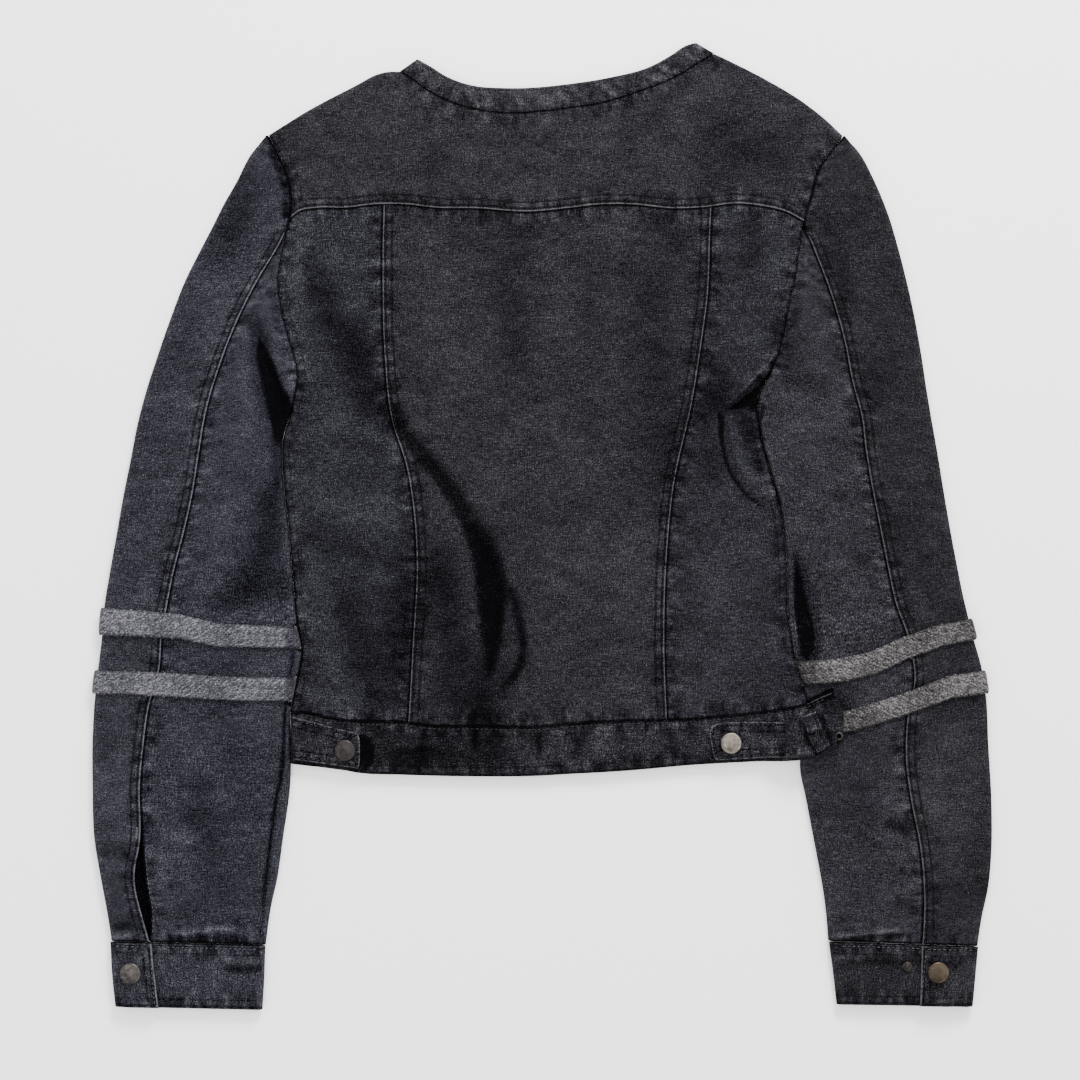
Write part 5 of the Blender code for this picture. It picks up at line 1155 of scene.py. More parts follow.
def makeFront(side):
    table, corner, _ = frontParts[side]
    xs = np.array(frontXs[side])
    steps = np.linspace(hemSection, 0, hemSection * 4 + 1)
    if side == "left":
        steps = np.unique(np.append(steps, frontSteps))[::-1]
    edge = np.vstack([throughRows(table, steps)[:, 2:4], [corner]])
    inset = np.zeros_like(edge)
    inset[:, 0] = cloth["frontInset"]
    if side == "left":
        # it reaches under the raised sleeve, but not into the knit bands
        near, clear = smoothStep((inBandZone(side, steps) - 0.6) / 0.4), 1.0
        for where, _, first, last, _ in knitBands:
            if where == side:
                before, after = first - frontLook["beforeBand"] - steps, steps - last + frontLook["afterBand"]
                clear *= np.clip(np.maximum(before, after) / frontLook["bandSlope"], 0.0, 1.0)
        out = cloth["frontUnder"] * clear + cloth["frontBeside"] * (1.0 - clear)
        inset[:-1, 0] -= (cloth["frontInset"] + out) * near
    inset *= math.copysign(1.0, xs[-1] - edge[0, 0])
    reach = np.abs(xs - edge[0, 0]) / abs(xs[-1] - edge[0, 0])
    blend = np.append(0.0, np.clip(reach / frontLook["blend"], 0.0, 1.0))
    bottom = np.vstack([edge[0] + inset[0], acrossX(waistLine, xs)])
    top = np.vstack([edge[-1] + inset[-1], frontTop(side)])
    rows = lengths(edge) / lengths(edge)[-1]
    middle = top[-1] * rows[:, None] + bottom[-1] * (1.0 - rows[:, None])
    u, v = blend[:, None, None], rows[None, :, None]
    plan = patch(bottom[:, None], top[:, None], (edge + inset)[None], middle[None],
                 (bottom[0], bottom[-1], top[0], top[-1]), u, v)
    plan[..., 1] += cloth["seamGap"] / 2 * (1.0 - 2.0 * rows)[None]
    lift = hemRise(plan) + (frontLift(plan, bandLow) if side == "left" else 0.0)
    facts, _ = seamFacts(plan, [(waistLine, 0, 0, 11)])
    wallOf("front_" + side, plan, lift, cloth["denim"], facts, frontLook["denim"])


for side in sleeves:
    makeFront(side)
print("fronts are laid")


# sleeves

sleeveLook = {
    "perSection": 11,              # rows of points between two sections
    "across": 19, "acrossUnder": 60, "acrossBelow": 20,      # columns of points
    "foldWear": (0.12, 0.10),      # the rubbed outer and inner fold
    # painted shade on the lower layer's inside, seen through the open slit
    "inside": -0.6,                # darker, seen only through the open slit
    "cuffRun": 9000.0,             # keeps the pattern beside the cuff seam apart from the back seam's
}


def sectionParts(rows):
    outer, inner = rows[:, 0:2], rows[:, 2:4]
    width = np.linalg.norm(inner - outer, axis=1)
    return outer, (inner - outer) / width[:, None], width, rows[:, 4], rows[:, 5]


def drawnIn(side, steps):
    # 1 where a knit band draws the sleeve's inner edge in
    drawn = np.zeros_like(steps)
    for where, label, first, last, _ in knitBands:
        if where == side:
            before, after = (0.12, 0.12) if side == "left" else (0.05, 0.14 if label == "upper" else 0.2)
            drawn = np.maximum(drawn, smoothStep((steps - first + before) / (0.65 * before))
                               * smoothStep((last + after - steps) / (0.65 * after)))
    return drawn


def upperHeight(points, zone):
    folds = relief(points)
    return cloth["loft"] + np.where(folds < 0.0, folds * (1.0 - cloth["bandFill"] * zone), folds) \
        + cloth["bandTop"] * zone


def foldTurn(distance):
    share = np.minimum(distance / cloth["foldReach"], 1.0)
    return np.sqrt(1.0 - (1.0 - share) ** 2)


def endRows(grid, normal, trims):
    run = units(np.gradient(grid, axis=1) * (1.0, 1.0, 0.0))
    grid[:, 0] += run[:, 0] * trims[0]
    grid[:, -1] -= run[:, -1] * trims[1]
    for row in (0, -1):
        lengthwise = (normal[:, row] * run[:, row]).sum(axis=1, keepdims=True)
        normal[:, row] = units(normal[:, row] - lengthwise * run[:, row])


def makeTopSleeve(side):
    # from the back seam over the outer fold and along the floor to the inner edge
    sleeve = sleeves[side]
    table = sleeve["table"]
    steps = np.linspace(0.0, len(table) - 1, (len(table) - 1) * sleeveLook["perSection"] + 1)
    rows = throughRows(table, steps)
    steps = np.append([0.0, 0.0], steps)
    rows = np.vstack([sleeve["tip"], rows])
    outer, direction, width, seam, _ = sectionParts(rows)
    run = lengths(outer)
    zone = inBandZone(side, steps)
    gap = cloth["seamGap"] / 2
    scale = np.minimum(1.0, width / 12.0)
    seamAt = seam * width - gap
    isLap = smoothStep((steps - 4.2) / 0.8)
    fold = [gap + d * scale for d in foldPlaces]
    low = cloth["bandBed"] * zone
    middle = cloth["loft"] / 2 + low / 2
    grid, reachOf, facts = [], [], {key: [] for key in factNames}

    def column(reach, height, seamDist):
        plan = outer + direction * reach[:, None]
        grid.append(raised(plan, height))
        reachOf.append(reach)
        cuffDist = run[-1] - run
        useCuff = cuffDist < seamDist
        addFacts(facts, np.where(useCuff, cuffDist, seamDist),
                 np.where(useCuff, reach + sleeveLook["cuffRun"], run), np.where(useCuff, 0.0, isLap),
                 sleeveLook["foldWear"][0] * np.exp(-((reach - 1.0) / 2.5) ** 2))

    def upper(reach):
        return upperHeight(outer + direction * reach[:, None], zone)

    near = [0.0, *lapSteps]
    for d in near:
        reach = np.maximum(seamAt - d, seamAt - (seamAt - fold[-1]) * d / (near[-1] + 2.3))
        strip = 1.0 - smoothStep((d - cloth["lapWidth"]) / cloth["lapSlope"])
        rise = (cloth["lapRise"] * strip + stitchGroove(d) + seamPucker(d, run, 60)) * isLap
        column(reach, upper(reach) + rise, seamAt - reach)
    last = reachOf[-1]
    count = sleeveLook["across"]
    for k in range(1, count + 1):
        reach = last + (fold[-1] - last) * k / (count + 1)
        column(reach, upper(reach) + seamPucker(seamAt - reach, run, 60) * isLap, seamAt - reach)
    for distance, reach in reversed(list(zip(foldPlaces, fold))):
        column(reach, middle + (upper(reach) - middle) * foldTurn(distance), seamAt - reach)
    far = np.full_like(width, 300.0)
    for distance, reach in zip(foldSteps, fold[1:]):
        column(reach, middle + (low - middle) * foldTurn(distance), far)
    end = width - gap - (cloth["bandRetreat"] + cloth["bandCorner"]) * drawnIn(side, steps)
    for share in np.linspace(0.0, 1.0, sleeveLook["acrossBelow"])[1:]:
        column(fold[-1] + (end - fold[-1]) * share, low, far)
    grid = np.stack(grid)
    normal = outward(grid, 0)
    normal[0] = rimNormal(normal[0], 0.0)
    endRows(grid, normal, (gap, gap))
    uv = unrolled(lengths(grid[:, 100], 3), run)
    facts = {key: np.stack(value) for key, value in facts.items()}
    facts["wearAndPaintedShade"] = facts["wearAndPaintedShade"] + washAndPaintedShade(grid[..., :2]) * (grid[..., 2] > 2.7)
    facts["inside"] = sleeveLook["inside"]
    denimPiece("top_sleeve_" + side, grid, grid - normal * cloth["denim"], uv, facts, sleeve["top"])


def makeUnderSleeve(side):
    # the upper layer between the back seam and the inner edge
    sleeve = sleeves[side]
    table = sleeve["table"]
    count = int((len(table) - armholeEnd - 1.35) * sleeveLook["perSection"])
    steps = np.linspace(armholeEnd + 0.35, len(table) - 1, count)
    outer, direction, width, seam, slit = sectionParts(throughRows(table, steps))
    run = lengths(outer)
    zone = inBandZone(side, steps)
    gap = cloth["seamGap"] / 2
    start = (seam + slit) * width + gap
    end = width - gap - cloth["bandRetreat"] * drawnIn(side, steps)
    end = np.maximum(end, start + 0.3)
    scale = np.minimum(1.0, (end - start) / 12.0)
    edge = sleeve["edge"]
    folded = np.interp(steps, np.linspace(0, len(table) - 1, len(edge)), edge[:, 2])
    fold = [end - d * scale for d in foldPlaces]
    low = lowEdge + cloth["bandBed"] * zone
    grid, facts = [], {key: [] for key in factNames}

    def column(reach, height):
        plan = outer + direction * reach[:, None]
        grid.append(raised(plan, height))
        seamDist = reach - (seam + slit) * width
        armDist = np.where(folded < 0.5, width - reach + 1.1, 500.0)
        cuffDist = run[-1] - run
        best = np.minimum(np.minimum(seamDist, armDist), cuffDist)
        seamRun = np.where(best == cuffDist, reach + sleeveLook["cuffRun"], run + 3000.0 * (best == armDist))
        addFacts(facts, best, seamRun, np.zeros_like(reach),
                 sleeveLook["foldWear"][1] * folded * np.exp(-((end - reach - 1.0) / 2.5) ** 2))

    def upper(reach):
        return upperHeight(outer + direction * reach[:, None], zone)

    for share in np.concatenate([[0.0, 0.008, 0.02], np.linspace(0.04, 1.0, sleeveLook["acrossUnder"])[:-1]]):
        reach = start + (fold[-1] - start) * share
        column(reach, upper(reach) + seamPucker(reach - start, run, 60))
    for distance, reach in reversed(list(zip(foldPlaces, fold))):
        turn = 1.0 - folded * (1.0 - foldTurn(distance))
        column(reach, low + (upper(reach) - low) * turn)
    grid = np.stack(grid)
    normal = outward(grid)
    normal[0] = rimNormal(normal[0], 0.0)
    normal[-1] = rimNormal(normal[-1], folded)
    endRows(grid, normal, (0.0, gap))
    uv = unrolled(lengths(grid[:, grid.shape[1] // 2], 3) + 400.0, run)
    facts = {key: np.stack(value) for key, value in facts.items()}
    facts["wearAndPaintedShade"] = facts["wearAndPaintedShade"] + washAndPaintedShade(grid[..., :2])
    denimPiece("under_sleeve_" + side, grid, grid - normal * cloth["denim"], uv, facts, sleeve["under"])


for side in sleeves:
    makeTopSleeve(side)
    makeUnderSleeve(side)
print("sleeves are laid")


# knit bands round the sleeves

def ringLoops(side, steps, waves, outset, upperAdd, bottom):
    table = np.array(sleeves[side]["table"])
    rows = np.stack([np.interp(steps, np.arange(len(table)), column) for column in table.T], axis=1)
    outer, direction, width, seam, _ = sectionParts(rows)
    zone = inBandZone(side, steps)
    lengthwise = units(np.gradient(outer + direction * width[:, None] / 2, axis=0))
    end = width - cloth["seamGap"] / 2 - cloth["bandRetreat"] * zone
    reachOf = cloth["foldReach"]
    middle = cloth["loft"] / 2 + cloth["bandBed"] / 2 * zone
    near = [(np.full_like(width, d), d) for d in foldPlaces]
    far = [(end - d, d) for d in reversed(foldPlaces)]
    columns, below = knitLook["columns"], knitLook["columnsBelow"]
    flat = [(reachOf + (end - 2 * reachOf) * k / columns, reachOf) for k in range(1, columns)]
    bottomFlat = [(reachOf + (end - 2 * reachOf) * k / below, reachOf) for k in range(below - 1, 0, -1)]
    upper = near + flat + far
    lower = far[::-1][1:] + bottomFlat + near[:0:-1]
    loops = []
    for places, isBelow in ((upper, False), (lower, True)):
        for reach, distance in places:
            share = reach / end
            offset = np.interp(share, np.linspace(0.0, 1.0, len(waves)), waves)
            stretched = share * (end + 2 * outset) - outset
            plan = outer + direction * stretched[:, None] - lengthwise * offset[:, None]
            over = outer + direction * np.clip(reach, reachOf, end - reachOf)[:, None]
            over = over - lengthwise * offset[:, None]
            full = upperHeight(over, zone) + upperAdd
            toSeam = seam * width - reach
            bump = smoothStep((toSeam + 3.0) / 3.0) * (1.0 - smoothStep((toSeam - 7.0) / 4.0))
            full = full + cloth["lapRise"] * bump
            height = middle + ((bottom if isBelow else full) - middle) * foldTurn(distance)
            loops.append(raised(plan, height))
    return np.stack(loops)


def makeKnitBand(side, label, first, last, waves):
    node = f"knit_band_{label}_{side}"
    steps = np.linspace(first, last, knitLook["steps"])
    clear, knit = cloth["bandClear"], cloth["knit"]
    inner = ringLoops(side, steps, waves, clear, clear, cloth["bandBed"] - clear)
    outer = ringLoops(side, steps, waves, clear + knit, clear + knit, 0.0)
    # the two long edges are rounded off
    bulge = np.sqrt(1.0 - np.linspace(-1.0, 1.0, len(steps)) ** 6)[None, :, None] * 0.5 + 0.5
    outer = inner + (outer - inner) * bulge
    around, across = lengths(outer[:, 15], 3), lengths(outer[60], 3)
    total = around[-1] + np.linalg.norm(outer[-1, 15] - outer[0, 15])
    # rows of slanting loops, and the yarn's own unevenness
    u, v = np.meshgrid(around, across, indexing="ij")
    wide, high = knitLook["loop"]
    row = np.floor(v / high)
    slant = np.where(row % 2 == 0, 1.0, -1.0)
    loops = np.cos((u / wide + slant * (v / high - row) * 0.5 + 0.25 * row) * 2 * math.pi)
    loops = loops * np.sin((v / high - row) * math.pi)
    fuzz = softWaves(np.stack([u, v], axis=-1), 21, 1.6, 4.0, 24)
    rise = knitLook["rise"] * loops + knitLook["fuzz"] * fuzz
    rise *= smoothStep((outer[..., 2] - 4.0) / 2.0)
    outer[..., 2] = np.maximum(outer[..., 2] + rise, 0.0)
    lengthwise = units(outer[:, -1] - outer[:, 0])
    edge = knitLook["frayed"] * softWaves(np.stack([around, around * 0.0], axis=-1), 22, 2.0, 6.0, 16)
    outer[:, 0] += lengthwise * (edge * (outer[:, 0, 2] > 3.0))[:, None]
    outer[:, -1] += lengthwise * (np.roll(edge, 37) * (outer[:, -1, 2] > 3.0))[:, None]
    uv = unrolled(np.append(around, total), across)
    edgeDist = np.minimum(across, across[-1] - across)
    # the inner end of a band lies in the shade of the body
    shade = (outer[..., 0] + 181.0 if side == "left" else 191.0 - outer[..., 0]) / 3.0
    facts = {"seamDist": edgeDist[None],
             "wearAndPaintedShade": 0.05 * loops + 0.05 * fuzz - knitLook["shade"][side] * smoothStep(shade)}
    made = clothMesh(node + "_cloth", outer, inner, uv, facts, knitMaterial(node + "_knit", side), True)
    declare(made, node, outer, True)


for band in knitBands:
    makeKnitBand(*band)
print("knit bands are on")


# cuffs

# the left cuff is paler than the right: partly its own washing, partly painted light for a more brightly lit
# left side
cuffLook = {
    "left": ((54, 53, 64), 21), "right": ((47, 45, 51), 17), "lap": 17.0, "slope": 8.0,
    "swell": (0.28, 12.0, 40.0), "pull": (0.22, 8.0), "wearAndPaintedShade": (0.15, 3.0), "edgeReach": 4.0,
    "seeds": {"left": 71, "right": 72}, "rows": 22, "across": 40, "below": 14, "lapColumns": 11,
}


def makeCuff(side, table):
    rows = throughRows(table, np.linspace(0.0, len(table) - 1, cuffLook["rows"]))
    outer, inner, lapShare = rows[:, 0:2], rows[:, 2:4], rows[:, 4]
    width = np.linalg.norm(inner - outer, axis=1)
    direction = (inner - outer) / width[:, None]
    run = lengths(outer)
    lapAt = lapShare * width
    loft, rise = cloth["bandLoft"], cloth["folded"] + cloth["seamGap"]
    tucked = lapAt - cuffLook["lap"]
    middle = loft / 2
    seed, (swellHeight, shortest, longest) = cuffLook["seeds"][side], cuffLook["swell"]
    wearAndPaintedShade, wearReach = cuffLook["wearAndPaintedShade"]
    grid, facts = [], {key: [] for key in factNames}
    rowEdge = np.minimum(run, run[-1] - run)

    def column(reach, height, toEnd=300.0):
        reach = np.broadcast_to(reach, width.shape).astype(float)
        plan = outer + direction * reach[:, None]
        inside = np.clip(rowEdge / cuffLook["edgeReach"], 0.15, 1.0)
        swell = swellHeight * softWaves(plan, seed, shortest, longest) * inside
        pull = seamPucker(rowEdge, reach, seed, *cuffLook["pull"])
        height = np.broadcast_to(height, width.shape) + (swell + pull) * (np.asarray(height) > loft * 0.9)
        grid.append(raised(plan, height))
        upper = np.asarray(height) > loft * 0.9
        grid[-1][:, 2] += np.minimum(foldForms(plan)[0], 0.8) * inside * upper
        best = np.minimum(rowEdge, toEnd)
        seamRun = np.where(best == toEnd, run + 500.0, reach + 100.0 * (run > run[-1] / 2))
        rubbed = wearAndPaintedShade * np.exp(-(np.minimum(reach, width - reach) / wearReach) ** 2)
        addFacts(facts, best, seamRun, np.where(best == toEnd, 1.0, 0.5), rubbed + washAndPaintedShade(plan) * upper)

    def turned(distance, full):
        return middle + (full - middle) * foldTurn(distance)

    for share in np.linspace(0.0, 1.0, cuffLook["across"]):
        column(tucked + (width - cloth["foldReach"] - tucked) * share, loft)
    for step in foldSteps[-2::-1] + (0.0,):
        column(width - step, turned(step, loft))
    for step in foldSteps:
        column(width - step, turned(step, 0.0))
    for share in np.linspace(0.9, 0.1, cuffLook["below"]):
        column(width * share, 0.0)
    for step in foldPlaces[::-1]:
        column(step, turned(step, 0.0))
    lapTop = loft + rise
    rampStart = np.maximum(tucked - cuffLook["slope"], cloth["foldReach"] + 1.0)
    for step in foldSteps:
        column(step, turned(step, loft + rise * 0.35), lapAt - step)
    column(rampStart, loft + rise * 0.6, lapAt - rampStart)
    top = np.maximum(tucked - 1.2, rampStart + 1.5)
    column(top, lapTop + 0.2, lapAt - top)
    for share in np.linspace(0.0, 1.0, cuffLook["lapColumns"])[1:]:
        reach = top + (lapAt - top) * share
        column(reach, lapTop + 0.1, lapAt - reach)
    grid = np.stack(grid)
    normal = outward(grid, 0)
    uv = unrolled(lengths(grid[:, 8], 3), run)[..., ::-1]
    denimPiece("cuff_" + side, grid, grid - normal * cloth["folded"], uv,
               {key: np.stack(value) for key, value in facts.items()}, cuffLook[side])


makeCuff("left", cuffLeft)
makeCuff("right", cuffRight)
print("cuffs are on")


# neckband and waistband

neckLook = {"pleats": (0.8, 9.5, 3), "pleatHeight": 0.42, "edgeWear": 0.12, "pleatWear": 0.11}
bandLook = {"neck": ((55, 53, 59), 18), "waist": ((43, 42, 48), 20), "front": ((50, 49, 55), 14)}


def bandPlan(bottom, top, left, right, us, vs):
    return patch(along(bottom, us), along(top, us), along(left, vs), along(right, vs),
                 (bottom[0], bottom[-1], top[0], top[-1]), us[..., None], vs[..., None])


def makeNeckbandBack():
    neck = neckTop[(neckTop[:, 0] > neckSeam[0][0] - 0.01) & (neckTop[:, 0] < neckSeam[-1][0] + 0.01)]
    edge = curve(neckEdge)
    length = lengths(neck)[-1]
    fold = np.array(foldSteps) / length
    inside = np.linspace(fold[-1], 1.0 - fold[-1], 110)[1:-1]
    columns = np.concatenate([[0.0], fold, inside, 1.0 - fold[::-1], [1.0]])
    first = 0.4 * cloth["seamGap"] / 17.0
    rows = np.concatenate([[first, 0.05, 0.1], np.linspace(0.18, 0.9, 7), [0.95, 1.0]])
    us, vs = shareGrids(columns, rows)
    plan = bandPlan(neck, edge, neckEndLeft, neckEndRight, us, vs)
    ends = [withFold(neckEndLeft, 1.0), withFold(neckEndRight, 1.0)]
    facts, _ = seamFacts(plan, [(curve(neckSeam), 0, 0, 7, 0.0, 1.0)])
    edgeDist, _, edgeRun, _ = measure(plan, edge)
    lean, period, waves = neckLook["pleats"]
    pleats = wave(edgeRun - lean * edgeDist, 81, period, waves)
    pleats = pleats * np.sin(np.clip(vs, 0.0, 1.0) * math.pi) ** 0.7
    pull = neckLook["pleatHeight"] * pleats
    crown = 0.35 * np.sin(vs * math.pi) - 0.9 * smoothStep((vs - 0.88) / 0.12)
    full = cloth["bandLoft"] + relief(plan) + pull + crown
    low = bandLow + cloth["seamGap"]
    height = low + (full - low) * rounding(plan, ends)
    facts["wearAndPaintedShade"] = (neckLook["edgeWear"] * np.exp(-(edgeDist / 1.6) ** 2)
                     + neckLook["pleatWear"] * np.maximum(pleats, 0.0) ** 1.6 - 0.04)
    layDown("neckband_back", plan, height, cloth["folded"], ends, (0, -1), facts, bandLook["neck"])


def makeNeckbandFront(side):
    edge = frontNeckEdge[side]
    seam = frontTop(side)
    seam = seam[np.abs(seam[:, 0] - cloth["centre"]) < abs(frontNeckSeam[side][0][0] - cloth["centre"]) - 0.5]
    level = cloth["centre"] + math.copysign(45.0, seam[0, 0] - cloth["centre"])
    share = np.clip((seam[:, 0] - level) / (seam[0, 0] - level), 0.0, 1.0)
    xs = seam[:, 0] + share * (edge[0][0] - seam[0, 0])
    top = acrossX(np.vstack([curve(edge), [(seam[-1, 0], edge[-1][1])]]), xs)
    seam = seam + lefts(seam) * (1.0 if side == "left" else -1.0) * cloth["seamGap"]
    rows = np.linspace(0.0, 1.0, 7)[None, :, None]
    plan = (1 - rows) * seam[:, None] + rows * top[:, None]
    lift = frontLift(plan, bandLow if side == "left" else 0.0)
    facts, _ = seamFacts(plan, [(seam, 0, 1, 12)])
    wallOf("neckband_front_" + side, plan, lift, cloth["folded"], facts, bandLook["front"])


waistTop = np.vstack([waistLine, curve(waistEnd)[1:]])
hemLine = curve(hem)
waistRight = curve(waistEndEdge)[::-1]
waistLeft = np.array([hemLine[0], waistTop[0]])
waistEdges = [withFold(waistLeft, 1.0), withFold(waistRight, 1.0)]


def waistFace(points):
    # height of the waistband away from its rounded ends; it lies level over the sleeve
    lift = hemRise(points)
    return cloth["waistLoft"] + relief(points) * (1.0 - lift / cloth["hemRise"]) + lift


def waistHeight(points, extra=0.0):
    base = bandLow + hemRise(points) * cloth["slopeRoom"]
    return base + (waistFace(points) + extra - base) * rounding(points, waistEdges)


def makeWaistbandBack():
    columns = spread(lengths(hemLine)[-1], 2.0, foldSteps, foldSteps)
    rows = np.concatenate([[0.0, 0.02, 0.05], np.linspace(0.09, 0.93, 13), [0.96, 1.0 - 0.45 / 37.0]])
    us, vs = shareGrids(columns, rows)
    plan = bandPlan(hemLine, waistTop, waistLeft, waistRight, us, vs)
    facts, _ = seamFacts(plan, [(waistTop, 0, 1, 13, 0.25), (hemLine, 0, 1, 14, 0.35)])
    topDist, _, topRun, _ = measure(plan, waistTop)
    hemDist, _, hemRun, _ = measure(plan, hemLine)
    pull = (seamPucker(topDist, topRun, 83, 0.34, 10.0) + seamPucker(hemDist, hemRun, 84, 0.30, 9.0)
            - 0.7 * np.exp(-(hemDist / 0.9) ** 2))
    height = waistHeight(plan, pull)
    facts["wearAndPaintedShade"] = 0.08 * np.exp(-(hemDist / 1.6) ** 2)
    layDown("waistband_back", plan, height, cloth["folded"], waistEdges, (0, -1), facts, bandLook["waist"])


waistEndXs = (204.0, 198.0, 192.0, 187.0, 182.0)


def makeWaistbandFront(side):
    end = waistLeft if side == "left" else waistRight
    xs = np.array(frontXs[side][1:])
    topXs = xs
    if side == "right":
        nearEnd = np.array(waistEndXs)
        shorter = (waistTop[-1, 0] - nearEnd[-1]) / (hemLine[-1, 0] - nearEnd[-1])
        topXs = np.concatenate([nearEnd[-1] + (nearEnd - nearEnd[-1]) * shorter, xs])
        xs = np.concatenate([nearEnd, xs])
    rows = np.linspace(0.0, 1.0, 9)[None, :, None]
    plan = (1 - rows) * acrossX(hemLine, xs)[:, None] + rows * acrossX(waistTop, topXs)[:, None]
    plan = np.concatenate([along(end, rows.ravel())[None], plan])
    plan[..., 1] -= cloth["seamGap"] / 2 * rows[..., 0]
    lift = hemRise(plan) + (frontLift(plan, bandLow) if side == "left" else 0.0)
    facts, _ = seamFacts(plan, [(waistTop, 0, 1, 15), (hemLine, 0, 1, 16)])
    wallOf("waistband_front_" + side, plan, lift, cloth["folded"], facts, bandLook["front"])


makeNeckbandBack()
makeWaistbandBack()
for side in sleeves:
    makeNeckbandFront(side)
    makeWaistbandFront(side)
print("neckband and waistband are on")


# waist tabs and belt loop

tabs = {
    "left": ((-174.0, -133.5), (-127.4, -145.4), (-127.2, -169.6), (-173.6, -163.0)),
    "right": ((168.0, -136.8), (115.6, -142.2), (119.8, -163.8), (168.0, -161.0)),
}
tabLook = {"screen": (46, 45, 52), "spread": 20, "clear": 0.6, "thick": 1.8, "rim": 0.55, "lapped": 0.75,
           "bow": {"left": 0.0, "right": 4.0}, "columns": 26, "rows": 15, "corner": 0.035}
tabEdges = {}
loopLook = {"width": 10.0, "bulge": 1.4, "thick": 1.1, "paler": 14}
loopPath = curve([(184.6, -130.8), (187.6, -139.0), (190.4, -147.5), (195.0, -154.8)], 8)


def makeResting(name, plan, height, thickness, facts, paler=0):
    look = np.array(tabLook["screen"]) + paler, tabLook["spread"]
    wallOf(name, plan, height + tabLook["clear"], thickness, facts, look)


def makeTab(side):
    upperIn, upperOut, lowerOut, lowerIn = (np.array(c) for c in tabs[side])
    us = np.linspace(0.0, 1.0, tabLook["columns"])[:, None, None]
    vs = np.linspace(0.0, 1.0, tabLook["rows"])[None, :, None]
    us = us * (1.0 - tabLook["corner"] * np.abs(2.0 * vs - 1.0) ** 6)       # rounds the outer corners off
    plan = ((1 - us) * (1 - vs) * upperIn + us * (1 - vs) * upperOut
            + us * vs * lowerOut + (1 - us) * vs * lowerIn)
    bow = np.interp(us[..., 0], (0.0, 0.8, 0.92, 1.0), (0.0, 1.0, 0.75, 0.0))
    plan[..., 1] += tabLook["bow"][side] * bow * (1.0 - vs[..., 0])
    outline = np.vstack([plan[:, 0], plan[-1, 1:], plan[-2::-1, -1]])
    tabEdges[side] = outline
    facts, _ = seamFacts(plan, [(outline, 0, 1, 17, tabLook["lapped"])])
    dist = facts["seamDist"]
    rise = 0.14 * softWaves(plan, 91, 10.0, 30.0) * smoothStep(dist / 3.0)
    rim = tabLook["rim"] * smoothStep(dist / 1.6) - 0.25 * np.exp(-((dist - 2.6) / 0.9) ** 2)
    thickness = tabLook["thick"] - tabLook["rim"] + rim + rise
    makeResting("waist_tab_" + side, plan, waistFace(plan), thickness, facts)


def makeBeltLoop():
    half = loopLook["width"] / 2
    offsets = np.linspace(-half, half, 9)[:, None, None]
    plan = loopPath[None] + offsets * lefts(loopPath)[None]
    bulge = loopLook["bulge"] * np.sin(np.linspace(0.0, math.pi, len(loopPath)))[None]
    dist = np.broadcast_to(half - np.abs(offsets[..., 0]), plan.shape[:2])
    run = np.broadcast_to(lengths(loopPath)[None], plan.shape[:2])
    # painted lighter at both ends, rubbed fold and painted highlight, and darker across the middle, painted
    # shade where the loop creases
    facts = {"seamDist": dist, "seamRun": run, "lapped": 0.45,
             "wearAndPaintedShade": 0.5 * np.exp(-(run / 1.1) ** 2) + 0.3 * np.exp(-((run.max() - run) / 1.0) ** 2)
             - 0.35 * np.exp(-((run - 0.5 * run.max()) / 1.2) ** 2)}
    rim = 0.5 * smoothStep(dist / 1.4)
    makeResting("belt_loop_right", plan, waistHeight(plan) + bulge, loopLook["thick"] + rim, facts,
                loopLook["paler"])


for side in tabs:
    makeTab(side)
makeBeltLoop()
print("tabs and loop are on")


# stitches

def deselectAll():
    if bpy.context.mode != "OBJECT":
        bpy.ops.object.mode_set(mode="OBJECT")
    bpy.ops.object.select_all(action="DESELECT")


def modelStitch():
    # one stitch of thread along x, pinched at its ends
    deselectAll()
    bpy.ops.mesh.primitive_uv_sphere_add(segments=6, ring_count=4, radius=0.5)
    stitch = bpy.context.object
    bpy.ops.object.mode_set(mode="EDIT")
    bpy.ops.mesh.select_all(action="SELECT")
    bpy.ops.transform.rotate(value=math.pi / 2, orient_axis="Y", center_override=(0.0, 0.0, 0.0))
    bpy.ops.transform.resize(value=(threadLook["length"], threadLook["wide"], threadLook["high"]),
                             center_override=(0.0, 0.0, 0.0))
    bpy.ops.object.mode_set(mode="OBJECT")
    points = np.array([v.co for v in stitch.data.vertices])
    faces = [tuple(f.vertices) for f in stitch.data.polygons]
    shape = stitch.data
    bpy.data.objects.remove(stitch)
    bpy.data.meshes.remove(shape)
    return points, faces


stitchPoints, stitchFaces = modelStitch()
threads = {shade: threadMaterial("thread_" + shade, threadLook[shade])
           for shade in ("dark", "middle", "light")}


def beside(line, distance):
    # the line moved to its left hand
    return line[:, :2] + lefts(line) * distance


